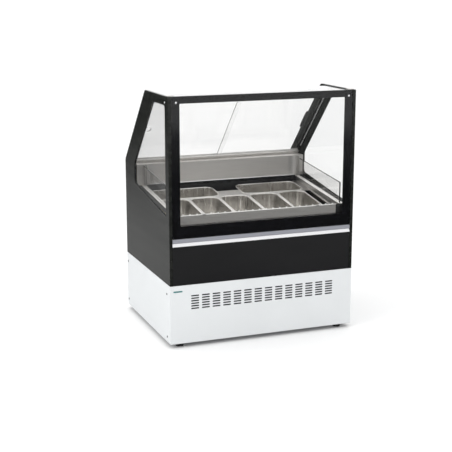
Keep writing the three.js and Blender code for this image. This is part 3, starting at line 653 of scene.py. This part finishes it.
def base_rear():
    """The vented rear sheet, with a collar round the mains lead's hole."""
    x, _, z = extent("base_rear_panel")
    face = REAR_SHEET[1]
    outline = [rectangle(x, z, 1.5, 3), circle(*CABLE_GLAND, 9), *slots(**REAR_VENT)]
    sheet = plate(FACING_Y, outline, negated(REAR_SHEET), 0.5)
    shown("base_rear_panel_sheet", sheet, WHITE, ["base_rear_panel"])
    collar = [(5, -1.5), (9, -1.5), (9, 0.2), (11, 0.2), (11, 1.6), (9.6, 3), (6.4, 3), (5, 1.8), (5, -1.5)]
    at = shift(CABLE_GLAND[0], face, CABLE_GLAND[1]) @ Matrix.Rotation(math.radians(-90), 4, "X")
    shown("cable_gland", placed(turned(collar, 32), at), BLACK_PLASTIC)
    rear_screws("base_rear_screws", face, (x[0] + 14, 0, x[1] - 14), (z[0] + 14, z[1] - 12))


def filter_and_shade_pad():
    """The black foam behind the front slots: a dust filter, and painted shade of the base's dark inside
    that the slots show.
    """
    back = extent("base_front_grille")[1][1]
    pad = block(FILTER_AND_SHADE_X, (back + 0.6, back + 5), about(GRILLE["centre"], FILTER_AND_SHADE_HALF_HEIGHT), 1.5)
    shown("grille_filter_and_shade_pad", pad, FILTER_AND_SHADE)


def badge():
    face = extent("base_front_grille")[1][0]
    tag = plate(FACING_Y, [rectangle(*BADGE_PLACE, 1.5, 4)], (-face, -face + 1.2), 0.4)
    shown("maker_plate", tag, BADGE)


def foot(node):
    """A levelling foot: a rubber pad, a plastic cup, and a nut on a threaded stem."""
    x, y, z = extent(node)
    at = shift(middle(x), middle(y), 0)
    pad = [(0, 0), (17.5, 0), (19.4, 0.8), (20, 2.4), (20, 6.6), (19.2, 7.6), (0, 7.6)]
    shown(f"{node}_pad", placed(turned(pad), at), RUBBER, [node], node)
    cup = [(0, 7.7), (18.6, 7.7), (18.2, 10), (12.5, 13.2), (11, 13.8), (0, 13.8)]
    shown(f"{node}_cup", placed(turned(cup), at), BLACK_PLASTIC, body=node)
    nut_low, nut_high = 14, 19
    nut = from_rings([[(*corner, h) for corner in circle(0, 0, 9.8, 6)] for h in (nut_low, nut_high)])
    pitch, turns = 1.5, 3
    thread = [(0, nut_high)]
    for turn in range(turns):
        h = nut_high + turn * pitch
        thread += [(4.2, h), (5, h + pitch / 2)]
    thread += [(4.2, z[1] - 0.1), (0, z[1] - 0.1)]
    stem = joined([nut, turned(thread, 32)])
    shown(f"{node}_stem", placed(stem, at), PAN_STEEL, body=node)


base_front()
for side, sign in SIDES:
    base_side(side, sign)
base_rear()
dressed("base_tray", GALVANISED, 0.6)
filter_and_shade_pad()
badge()
for end in ("front", "rear"):
    for side, _ in SIDES:
        foot(f"foot_{end}_{side}")


# ---- Side panels ----
SIDE_TOP_END = -5
SIDE_BACK_HEIGHT = 846
WINDOW_FRONT, WINDOW_CREST, WINDOW_REAR = -328, -134, 207
WINDOW_TOE, WINDOW_HEEL, WINDOW_SHOULDER, WINDOW_TOP = 664, 741, 853, 1211
SIDE_STUD = (-332, 1223)


def side_outline():
    """Upright in front, flat on top, then down along the sliding doors."""
    _, y, z = extent("left_side_panel")
    corners = [(y[0], z[0], 0), (y[0], z[1], 5), (SIDE_TOP_END, z[1], 12)]
    corners += [(y[1], SIDE_BACK_HEIGHT, 12), (y[1], z[0], 0)]
    return arc_loop(corners, 5)


def window_outline(inset):
    """The clear window of a side panel, shrunk all round by an inset."""
    along_slope = inset * 0.4
    corners = [
        (WINDOW_FRONT + inset, WINDOW_TOE + inset, 8),
        (WINDOW_FRONT + inset, WINDOW_TOP - inset, 20),
        (WINDOW_CREST - along_slope, WINDOW_TOP - inset, 14),
        (WINDOW_REAR - inset, WINDOW_SHOULDER - along_slope, 14),
        (WINDOW_REAR - inset, WINDOW_HEEL + inset, 24),
    ]
    return arc_loop(corners, 8)


def side_panel(side, sign):
    """A black board with a window: the pane and a thin bead on both of its faces."""
    node = f"{side}_side_panel"
    x = extent(node)[0]
    panel = plate(FACING_X, [side_outline(), window_outline(0)], x, 1.2, 3)
    board = shown(f"{node}_board", panel, BLACK_SIDE, [node])
    # The inner face gets the darker, duller copy: painted shade of the cabinet's inside.
    second_finish(board, BLACK_INSIDE_SHADE, lambda normal: normal.x * sign < -0.9)
    pane_x = extent(f"{side}_side_glass")[0]
    pane = plate(FACING_X, [window_outline(0.4)], pane_x, 0.5)
    shown(f"{side}_side_pane", pane, GLASS, [f"{side}_side_glass"])
    for face, start in (("outer", pane_x[1] + 0.2), ("inner", pane_x[0] - 1.6)):
        bead = plate(FACING_X, [window_outline(0.3), window_outline(3.0)], (start, start + 1.4), 0.6)
        shown(f"{side}_window_{face}_bead", bead, RUBBER)
    spot = (outer_end(x, sign), *SIDE_STUD)
    screws(f"{side}_side_stud", [spot], 5, 1.8, (sign, 0, 0), BRIGHT_ALU)


for side, sign in SIDES:
    side_panel(side, sign)


# ---- Front panel and bumper ----
def bumper():
    """The rail across the front: a satin band that leans back, above a bright one with round edges."""
    x, (front, back), z = extent("bumper_profile")
    half = middle(z)
    lip, lean, round_edge = 2.4, 4.4, 1.4
    nose = [(back, z[0] + 0.4), (front + lip, z[0] + 0.4)]
    for angle in sweep(0, 90, 6):
        nose.append((front + lip - lip * math.sin(angle), z[0] + 2.6 - 2.2 * math.cos(angle)))
    for angle in sweep(0, 90, 6):
        y = front + lean + round_edge * (1 - math.cos(angle))
        nose.append((y, half - 2 + round_edge * math.sin(angle)))
    nose.append((back, half - 0.6))
    band = [(back, half - 0.4), (front + 5.4, half - 0.4), (front + 5.4, half + 0.6)]
    band += [(front + 1.2, half + 1.2), (front + 2.4, z[1] - 2), (front + 2.8, z[1] - 0.8)]
    band += [(front + 3.6, z[1] - 0.2), (back, z[1] - 0.2)]
    shown("bumper_upper_band", bar(band[::-1], x), SATIN_ALU, ["bumper_profile"])
    shown("bumper_lower_band", bar(nose[::-1], x), BRIGHT_ALU)


def front_inner_skin():
    """The black sheet over the foam's front, which shows when the front glass is tilted."""
    x, y, _ = extent("insulated_tub")
    z = (extent("bumper_profile")[2][1] + 0.5, extent("front_lip")[2][0] - 2.8)
    skin = plate(FACING_Y, [rectangle(x, z)], (0.1 - y[0], 0.8 - y[0]), 0.2)
    shown("front_inner_skin", skin, BLACK_FRONT)


dressed("front_lower_panel", BLACK_FRONT, 0.6)
bumper()
front_inner_skin()


# ---- Front glass, its catches and the top ----
CLEARING = ((-440, 440), (620, 1219))
STUD_X = 459.5
STUD_HEIGHT = 1225
LAMP_END = 9


def front_window():
    """The tilting pane and the black border printed round its clear part."""
    x, y, z = extent("front_glass")
    pane = plate(FACING_Y, [rectangle(x, z, 4, 5)], negated(y), 0.9, 3)
    shown("front_glass_pane", pane, GLASS, ["front_glass"], "front_window")
    spots = [(sign * STUD_X, y[0], STUD_HEIGHT) for _, sign in SIDES]
    x, y, z = extent("front_glass_frame")
    border = plate(FACING_Y, [rectangle(x, z, 4, 5), rectangle(*CLEARING, 4, 5)], negated(y), 0.5)
    shown("front_glass_border", border, BORDER, ["front_glass_frame"], "front_window")
    screws("front_glass_studs", spots, 5.5, 1.8, -Y_AXIS, BRIGHT_ALU, "front_window")


def top_glass():
    x, y, z = extent("top_glass")
    pane = plate(FACING_Z, [rectangle(x, y, 3, 4)], z, 0.8, 3)
    shown("top_pane", pane, GLASS, ["top_glass"])


def lamp():
    """The opal diffuser between its two grey end caps."""
    dressed("lamp_channel", SATIN_ALU, 0.4)
    x, y, z = extent("lamp_tube")
    section = rectangle(y, z, 5, 6)
    diffuser = bar(section, grown(x, -LAMP_END))
    shown("lamp_diffuser", diffuser, LAMP, ["lamp_tube"])
    cap = LAMP_END - 0.2
    caps = [bar(section, span) for span in ((x[0], x[0] + cap), (x[1] - cap, x[1]))]
    shown("lamp_end_caps", joined(caps), GREY_PLASTIC)


front_window()
for side, _ in SIDES:
    dressed(f"glass_catch_{side}", STEEL_X, 0.5, 3)
top_glass()
lamp()


# ---- Rear sliding doors ----
DOOR_RUN = (10, 503)
DOOR_EDGE = 480
DOOR_OVERLAP = 10
FINGER_RING = (-455, 235)
RING_RADIUS = 19
HANDLE_X = (427, 447)
HANDLE_RUN = (163, 291)
BEAD_X = 477.6
BEAD_HALF_WIDTH = 3.2
BEAD_RUNS = ((30, 385), (394, 441))
BEAD_DEPTH = (-11.4, -10.1)


def door_channel(side, sign):
    """A dark side channel with bright strips on its inside."""
    node = f"door_side_channel_{side}"
    dressed(node, DARK_ANODISED, 0.3)
    across = about(sign * BEAD_X, BEAD_HALF_WIDTH)
    outlines = [rectangle(across, run, 1.2, 4) for run in BEAD_RUNS]
    strips = [plate(DOORS, [outline], BEAD_DEPTH, 0.5) for outline in outlines]
    shown(f"{node}_bead", joined(strips), BRIGHT_ALU)


def left_door():
    """The inner door, which is pulled by a ringed finger hole."""
    hole = circle(*FINGER_RING, RING_RADIUS + 0.3, 48)
    depth = (INNER_DOOR, INNER_DOOR + DOOR_THICKNESS)
    sheet = plate(DOORS, [rectangle((-DOOR_EDGE, DOOR_OVERLAP), DOOR_RUN, 3, 4), hole], depth, 0.8, 3)
    shown("door_left_pane", sheet, ACRYLIC, ["rear_door_left"], "door_left")
    low, high = grown(depth, 1.2)
    lips = [(15, low), (18, low), (18.8, low + 0.9), (18.8, high - 0.9), (18, high), (15, high)]
    cove = [(14.2, high - 1), (13.4, middle(depth)), (14.2, low + 1), (15, low)]
    ring = placed(turned(lips + cove), DOORS @ shift(*FINGER_RING, 0))
    shown("door_left_finger_grip", ring, ACRYLIC, ["door_left_finger_ring"], "door_left")


def right_door():
    """The outer door, with a handle, and dark paint on its cut edges that stands for the shade a clear edge
    shows.
    """
    depth = (OUTER_DOOR, OUTER_DOOR + DOOR_THICKNESS)
    sheet = plate(DOORS, [rectangle((-DOOR_OVERLAP, DOOR_EDGE), DOOR_RUN, 3, 4)], depth, 0.8, 3)
    pane = shown("door_right_pane", sheet, ACRYLIC, ["rear_door_right"], "door_right")
    across = DOORS.to_3x3().col[2]
    # The cut edges are painted dark: painted shade of the dark line a clear edge shows.
    second_finish(pane, EDGING_AND_EDGE_SHADE, lambda normal: abs(normal.dot(across)) < 0.9)
    grip = handle(depth[1] + 0.4)
    shown("door_right_grip", grip, BLACK_PLASTIC, ["door_right_handle"], "door_right")


def handle(face):
    """A waisted bar that swells from its two ends."""
    rings = []
    start, end = HANDLE_RUN
    for t in shares(22):
        half = 10 - 1.6 * math.sin(math.pi * t)
        height = 3 + 11 * math.sin(math.pi * t) ** 0.35
        section = rectangle((-half, half), (0, height), min(4.5, height / 2.2), 4)
        run = start + (end - start) * t
        rings.append([DOORS @ Vector((middle(HANDLE_X) + u, run, face + v)) for u, v in section])
    return from_rings(rings)


dressed("door_top_track", SATIN_ALU, 0.4)
dressed("door_bottom_track", POLISHED, 0.4)
for side, sign in SIDES:
    door_channel(side, sign)
left_door()
right_door()


# ---- Server's side ----
CORNER_RADIUS = 30
RISER_REACH = 441
HEM_X = (-438, 438)
GUARD_FRONT_TOP = 775


def riser_corner(sign):
    """The riser's end, turned forward in a quarter round to meet the side guard."""
    _, y, z = extent("rear_worktop")
    sheet = 1.2
    face = y[0] - 0.2
    centre_x, centre_y = RISER_REACH - CORNER_RADIUS, face - CORNER_RADIUS
    line = [(centre_x - 18, face)]
    for angle in sweep(0, 90, 10):
        across, back = math.sin(angle), math.cos(angle)
        line.append((centre_x + CORNER_RADIUS * across, centre_y + CORNER_RADIUS * back))
    line.append((RISER_REACH, centre_y - 14))
    inside = []
    for i, (px, py) in enumerate(line):
        before, after = Vector(line[max(i - 1, 0)]), Vector(line[min(i + 1, len(line) - 1)])
        along = (after - before).normalized()
        inside.append((px + along.y * sheet, py - along.x * sheet))
    loop = line + inside[::-1]
    rings = [[(sign * px, py, h) for px, py in loop] for h in (z[0] + 2.5, z[1] - 1.5)]
    return welded(from_rings(rings))


def worktop():
    dressed("rear_worktop", STEEL_X, 0.8, 3)
    _, y, z = extent("rear_worktop")
    hem = tube([(x, y[0] + 0.8, z[0] + 1.6) for x in HEM_X], 2.8)
    shown("riser_hem", hem, BRIGHT_ALU)
    corners = joined([riser_corner(sign) for _, sign in SIDES])
    # The corners take the darker lengthways steel: painted shade beside the guards' rear edges.
    shown("riser_corners", corners, STEEL_Y)


def rear_panel():
    dressed("rear_body_panel", BLACK_FRONT, 0.6)
    x, y, z = extent("rear_body_panel")
    rear_screws("rear_panel_screws", y[1], (x[0] + 16, 0, x[1] - 16), (z[0] + 16, z[1] - 16))


def guard(side):
    """A side guard beside the pans, with an edging along its front and top."""
    node = f"side_guard_{side}"
    x, y, z = extent(node)
    low_front, low_rear = rim_height(y[0]) + 0.4, rim_height(y[1]) + 0.4
    outline = [(y[0], low_front, 2), (y[1], low_rear, 2), (y[1], z[1], 3), (y[0], GUARD_FRONT_TOP, 2)]
    sheet = plate(FACING_X, [arc_loop(outline, 4)], x, 0.5)
    piece = shown(f"{node}_sheet", sheet, GUARD_ACRYLIC, [node])
    # The cut edges are painted dark: painted shade of the dark line a clear edge shows.
    second_finish(piece, EDGING_AND_EDGE_SHADE, lambda normal: abs(normal.x) < 0.9)
    proud, lap, width = 0.8, 1.5, 3.2
    before, behind = y[0] - proud, y[0] + width
    trim = [(y[1], z[1] + proud, 0), (before, GUARD_FRONT_TOP + proud, 2), (before, low_front + 2, 0)]
    trim += [(behind, low_front + 2, 0), (behind, GUARD_FRONT_TOP - lap, 2), (y[1], z[1] - lap, 0)]
    edging = plate(FACING_X, [arc_loop(trim, 4)], grown(x, proud), 0.4)
    shown(f"{node}_edging", edging, EDGING_AND_EDGE_SHADE)


worktop()
rear_panel()
for side, _ in SIDES:
    guard(side)


# ---- Controls ----
SWITCHES = ("light_switch", "power_switch")
BUTTONS = tuple(f"thermostat_button_{name}" for name in ("down", "set", "up"))
SHOWING = "-18"
SEGMENTS = {"1": "bc", "8": "abcdefg", "-": "g"}
DIGIT_WIDTH = 8.5
DIGIT_HEIGHT = 15.0
DIGIT_GAP = 2.2
DIGIT_BAR = 1.6


def pointed_bar(start, end, low, tip):
    """A display's bar along u, with a point beyond each end."""
    high, half = low + DIGIT_BAR, low + DIGIT_BAR / 2
    return [(start, low), (end, low), (end + tip, half), (end, high), (start, high), (start - tip, half)]


def segment(letter, x, z):
    """One bar of a seven-segment digit whose lower right corner, as the server sees it, is at x, z."""
    w, h, t = DIGIT_WIDTH, DIGIT_HEIGHT, DIGIT_BAR
    level = {"a": h - t, "g": (h - t) / 2, "d": 0}
    if letter in level:
        return pointed_bar(x + t, x + w - t, z + level[letter], 0.4 * t)
    u = x if letter in "bc" else x + w - t
    v = z + (h / 2 if letter in "bf" else 0)
    return [(across, up) for up, across in pointed_bar(v + t, v + h / 2 - t, u, 0.5 * t)]


def console():
    """The grey fascia in its two layers, and the frames of the rocker switches."""
    x, y, z = extent("control_panel")
    mid_z = middle(z)
    tx, _, tz = extent("thermostat")
    rockers = [middle(extent(name)[0]) for name in SWITCHES]
    holes = [rectangle(grown(tx, 0.4), grown(tz, 0.4), 0.5, 2)]
    holes += [rectangle(about(at, 12), about(mid_z, 16), 1, 3) for at in rockers]
    step = 2
    fascia = plate(FACING_Y, [rectangle(x, z, 7, 8), *holes], (-y[1], -y[0] - step - 0.1), 1.4, 4)
    shown("console_fascia", fascia, GREY_PLASTIC, ["control_panel"])
    seat = plate(FACING_Y, [rectangle(x, z, 7, 8)], (-y[0] - step, -y[0]), 0.3)
    shown("console_back", seat, GREY_PLASTIC)
    frames = []
    for at in rockers:
        outer = rectangle(about(at, 14), about(mid_z, 18), 2.5, 5)
        inner = rectangle(about(at, 11.5), about(mid_z, 15.5), 1, 3)
        frames.append(plate(FACING_Y, [outer, inner], (-y[1] - 1.1, -y[1] + 0.1), 0.5))
    shown("rocker_frames", joined(frames), BLACK_PLASTIC)


def thermostat():
    """The black body, its screen with lit digits, and its three buttons."""
    x, y, z = extent("thermostat")
    mid_z = middle(extent("control_panel")[2])
    face = y[1]
    caps = [extent(node) for node in BUTTONS]
    wells = [rectangle(grown(bx, 0.4), grown(bz, 0.4), 1, 3) for bx, _, bz in caps]
    body = plate(FACING_Y, [rectangle(x, z, 2.5, 5), *wells], (-face, -y[0]), 0.7, 3)
    shown("thermostat_body", body, BLACK_PLASTIC, ["thermostat"])
    outline = rectangle(grown(x, -14), (mid_z - 4.5, z[1] - 3), 1.5, 3)
    screen = plate(FACING_Y, [outline], (-face - 0.35, -face + 0.2), 0.15)
    shown("thermostat_screen", screen, BORDER)
    bars = []
    first = middle(x) + 14.5
    for i, sign in enumerate(SHOWING):
        at = first - (i + 1) * (DIGIT_WIDTH + DIGIT_GAP)
        outlines = [segment(letter, at, mid_z - 3) for letter in SEGMENTS[sign]]
        bars += [plate(FACING_Y, [outline], (-face - 0.55, -face - 0.3), 0.05, 1) for outline in outlines]
    shown("thermostat_digits", joined(bars), DISPLAY)
    for node, (bx, by, bz) in zip(BUTTONS, caps):
        cap = plate(FACING_Y, [rectangle(bx, bz, 1.2, 4)], negated(by), 0.5, 3)
        shown(f"{node}_cap", cap, GREY_PLASTIC, [node], node)


console()
thermostat()
for switch in SWITCHES:
    dressed(switch, BLACK_PLASTIC, 0.7, 3)


# ---- The well ----
LOUVRE = ((0.4, 0), (1.2, -0.6), (6.6, 6.2), (5.8, 6.8))
LEDGE_X = (-480, 480)
LIP_END = 482
LIP_PITCH = 37
CLIP_X = 310
FLANGE_RUN = (-346, 197)
FLANGE_TRIMS = ((447.6, 461.0, 1.1), (434.0, 442.6, 1.6))
FLANGE_GASKET = (461.4, 483.4, 2.4)


def air_outlets():
    """The black baffle, with four louvre blades behind its slots."""
    dressed("air_outlet_grille", BLACK_PLASTIC, 0.4)
    x, y, z = extent("air_outlet_grille")
    blades = []
    for i in range(4):
        low = z[1] - 22.6 + i * 5.2
        profile = [(y[1] + behind, low + above) for behind, above in LOUVRE]
        blades.append(bar(profile, grown(x, -20)))
    shown("air_outlet_louvres", joined(blades), BLACK_PLASTIC)


def comb():
    """The steel fascia behind the glass: a rolled bright edge with a row of small teeth, and two clips."""
    x, y, z = extent("front_lip")
    face, top = y[0], z[1]
    sheet = plate(FACING_Y, [rectangle(x, (z[0], top - 3), 1, 3)], (-face - 1.9, -face), 0.5)
    shown("lip_fascia", sheet, STEEL_X, ["front_lip"])
    edge = [tube([(end, face + 2.4, top - 2.4) for end in x], 2.5)]
    for i in range(int((x[1] - x[0]) / LIP_PITCH)):
        across = about(x[0] + (i + 0.5) * LIP_PITCH, 4)
        edge.append(block(across, (face + 1.6, face + 3.2), (top - 2.6, top + 5), 0.6))
    shown("lip_rolled_edge", joined(edge), POLISHED)
    clip_y, clip_z = (face - 0.5, face + 5.6), (top - 6.5, top + 1.4)
    clips = [block(about(sign * CLIP_X, 9), clip_y, clip_z, 1.2) for _, sign in SIDES]
    shown("lip_clips", joined(clips), STEEL_Y)


def ledge():
    """The black ledge between glass and fascia, and the caps at the fascia's ends."""
    x, y, z = extent("front_lip")
    face = y[0]
    shelf = block(LEDGE_X, (face - 17.5, face - 0.4), (z[0] - 2.6, z[0] - 0.8), 0.4)
    shown("front_ledge", shelf, BLACK_PLASTIC)
    spans = ((-LIP_END, x[0] - 0.4), (x[1] + 0.4, LIP_END))
    caps = [block(span, (face - 0.2, face + 1.6), (z[0], z[1] - 3), 0.5) for span in spans]
    shown("lip_end_caps", joined(caps), BLACK_PLASTIC)


def flange_strip(sign, near, far, lift):
    rings = []
    for y in FLANGE_RUN:
        low = rim_height(y) + 0.3
        high = low + lift
        corners = [(near, low), (far, low), (far, high), (near, high)]
        rings.append([(sign * x, y, z) for x, z in corners])
    return welded(from_rings(rings))


def flange_trims(side, sign):
    """On a side flange of the well: a polished strip, a folded nose towards the well and a gasket."""
    strips = [flange_strip(sign, *trim) for trim in FLANGE_TRIMS]
    shown(f"well_flange_trim_{side}", joined(strips), POLISHED)
    gasket = flange_strip(sign, *FLANGE_GASKET)
    shown(f"well_flange_gasket_{side}", gasket, RUBBER)


dressed("insulated_tub", FOAM, 1.0)
dressed("tank_liner", STEEL_Y)
dressed("pan_support_grid", STEEL_Y, 0.4)
air_outlets()
comb()
ledge()
for side, sign in SIDES:
    flange_trims(side, sign)


# ---- Pans ----
PAN_SHEET = 1.2
PAN_TAPER = 8.0
RIM_WIDTH = 7.5
RIM_CORNER = 45.5
RIM_CURL = 1.6
UNDER_RIM = -6
FLOOR_ROUND = 18.0


def pan_ring(inset, z):
    """The pan's outline at a height, that far inside its rim's outer edge."""
    u, v = PAN_WIDTH / 2 - inset, PAN_LENGTH / 2 - inset
    return [(*point, z) for point in rectangle((-u, u), (-v, v), max(RIM_CORNER - inset, 6), 7)]


def pan_wall(z, sheet):
    """How far inside the rim's outer edge a drafted wall stands; sheet is 0 for its outer face."""
    return RIM_WIDTH + PAN_TAPER * (-z / PAN_DEPTH) + sheet


def pan_side(sheet):
    """The rings of the floor's round edge and the wall above it, from the floor up."""
    rings = []
    radius = FLOOR_ROUND - sheet
    for angle in sweep(0, 90, 5):
        z = sheet - PAN_DEPTH + radius * (1 - math.cos(angle))
        rings.append(pan_ring(pan_wall(z, sheet) + radius * (1 - math.sin(angle)), z))
    rings.append(pan_ring(pan_wall(UNDER_RIM, sheet), UNDER_RIM))
    return rings


def pan_mesh():
    """A deep-drawn pan about the middle of its rim plane: rolled rim, drafted walls, round floor edge."""
    sheet, curl = PAN_SHEET, RIM_CURL
    inner = RIM_WIDTH + sheet
    under = [(RIM_WIDTH - 0.6, -3.0), (RIM_WIDTH - 2.4, -sheet - 0.2), (2.2, -sheet)]
    roll = [(curl - curl * math.cos(a), -curl + curl * math.sin(a)) for a in sweep(-90, 90, 6)]
    over = [(inner - 2.6, 0), (inner - 1.0, -0.5), (inner - 0.1, -2.2)]
    rim = [pan_ring(inset, z) for inset, z in under + roll + over]
    return from_rings(pan_side(0) + rim + pan_side(sheet)[::-1])


def pan(number, x, y, turn=0.0):
    node = f"pan_{number}"
    at = DECK @ shift(x, y, 0) @ Matrix.Rotation(turn, 4, "Z")
    shell = shown(f"{node}_shell", placed(pan_mesh(), at), PAN_STEEL, [node], node)
    second_finish(shell, PAN_FLOOR, lambda normal: normal.z > 0.7)


for i in range(5):
    pan(i + 1, FIRST_PAN_X + i * PAN_PITCH, PAN_LENGTH / 2)
for i, pan_x in enumerate(REAR_PAN_X):
    pan(i + 6, pan_x, PAN_LENGTH + ROW_GAP + PAN_WIDTH / 2, math.pi / 2)


# ---- Machinery ----
EVAPORATOR_Y = (-120, 90)
EVAPORATOR_BOTTOM = 412
EVAPORATOR_FEET = ((-290, -280), (100, 110))
BLADE_SECTION = ((-0.5, 0), (-0.3, 0.7), (0.1, 0.9), (0.5, 0), (0.1, -0.5), (-0.3, -0.6))
SUCTION_LINE = ((170, 60, 212), (170, 60, 245), (185, 30, 285), (250, -40, 302), (300, -90, 312))


def fins(x, y, z, count, thickness):
    """A pack of thin upright fins."""
    pitch = (x[1] - x[0] - thickness) / (count - 1)
    starts = [x[0] + i * pitch for i in range(count)]
    return [block((start, start + thickness), y, z, 0.1, 1) for start in starts]


def return_bends(x, y, levels, radius):
    """Copper hairpins that join the coil's rows beyond the fins."""
    bends = []
    reach, lap = 14, 4
    for end, sign, first in ((x[0], -1, 1), (x[1], 1, 0)):
        for low, high in list(zip(levels, levels[1:]))[first::2]:
            half = (high - low) / 2
            points = [(end - sign * lap, y, low)]
            for angle in sweep(-90, 90, 6):
                out = reach - half + half * math.cos(angle)
                points.append((end + sign * out, y, middle((low, high)) + half * math.sin(angle)))
            points.append((end - sign * lap, y, high))
            bends.append(tube(points, radius, sides=4))
    return bends


def condenser():
    x, y, z = extent("condenser_coil")
    pack = fins(grown(x, -4), (y[0] + 2, y[1] - 1), grown(z, -2), 66, 0.5)
    pack += [block(end, y, z, 0.4) for end in ((x[0], x[0] + 2), (x[1] - 2, x[1]))]
    # The fins are near black: coated fins, and painted shade of the base's dim inside.
    shown("condenser_fins", joined(pack), DARK_FINS_AND_SHADE, ["condenser_coil"])
    levels = [z[0] + 12 + i * 25 for i in range(9)]
    rows = [return_bends(grown(x, 1), at, levels, 4.5) for at in (y[0] + 18, y[1] - 16)]
    shown("condenser_bends", joined(sum(rows, [])), COPPER)
    dressed("condenser_fan_shroud", GALVANISED, 0.6)


def blade(start, root, radius, depth, twist):
    """A swept blade that widens and flattens towards its tip."""
    rings = []
    for t in shares(10):
        r = root + (radius - root) * t
        tip = 1 if t < 0.9 else 1 - (t - 0.9) * 3
        chord = radius * (0.34 + 0.26 * t) * tip
        pitch = twist * (1 - 0.35 * t)
        sweep_back = 0.25 * t * t
        ring = []
        for along, thick in BLADE_SECTION:
            across = along * chord
            angle = start + sweep_back + across * math.cos(pitch) / r
            h = max(-depth, min(depth, across * math.sin(pitch) + thick))
            ring.append((r * math.cos(angle), r * math.sin(angle), h))
        rings.append(ring)
    return from_rings(rings)


def fan(node, twist, finish):
    """A propeller about Y: a round hub and five blades."""
    x, y, z = extent(node)
    radius, depth = (x[1] - x[0]) / 2 - 2, (y[1] - y[0]) / 2
    hub = radius * 0.28
    profile = [(0, -depth), (hub * 0.86, -depth), (hub, -depth + 2)]
    profile += [(hub, depth - 1), (hub - 1, depth), (0, depth)]
    starts = sweep(0, 360, 5)[:-1]
    blades = [blade(start, hub * 0.85, radius, depth, twist) for start in starts]
    at = shift(middle(x), middle(y), middle(z)) @ Matrix.Rotation(math.radians(90), 4, "X")
    rotor = joined([turned(profile, 36), *blades])
    shown(f"{node}_rotor", placed(rotor, at), finish, [node], node)


def compressor():
    x, y, z = extent("compressor")
    profile = [(0, 0), (62, 0), (70, 3), (72, 12), (92, 30), (99, 52), (100, 78), (99, 98)]
    profile += [(97, 100), (100, 103), (97, 106), (92, 124), (80, 148), (58, 170), (30, 181), (0, 183.6)]
    shell = placed(turned(profile, 72), shift(middle(x), middle(y), z[0]))
    shown("compressor_shell", shell, BLACK_FRONT, ["compressor"])


def evaporator():
    x, _, z = extent("evaporator_coil")
    front, back = EVAPORATOR_Y
    pack = fins(grown(x, -3), (front + 1, back - 2), (EVAPORATOR_BOTTOM, z[1] - 1), 70, 0.4)
    pack += [block(span, EVAPORATOR_Y, (z[0], EVAPORATOR_BOTTOM - 0.2), 0.5) for span in EVAPORATOR_FEET]
    pack.append(block(x, (back - 1, back + 3), z, 0.5))
    shown("evaporator_fins", joined(pack), FIN_ALU, ["evaporator_coil"])
    levels = [EVAPORATOR_BOTTOM + 12 + i * 18.5 for i in range(4)]
    rows = [return_bends(x, at, levels, 4) for at in (-95, -45, 5, 55)]
    shown("evaporator_bends", joined(sum(rows, [])), COPPER)


def suction_line():
    line = tube(SUCTION_LINE, 5.6, smooth=True)
    shown("suction_line", line, COPPER, ["refrigerant_pipe"])


condenser()
fan("condenser_fan", math.radians(28), FIN_ALU)
fan("evaporator_fan", math.radians(30), BLACK_PLASTIC)
compressor()
evaporator()
suction_line()
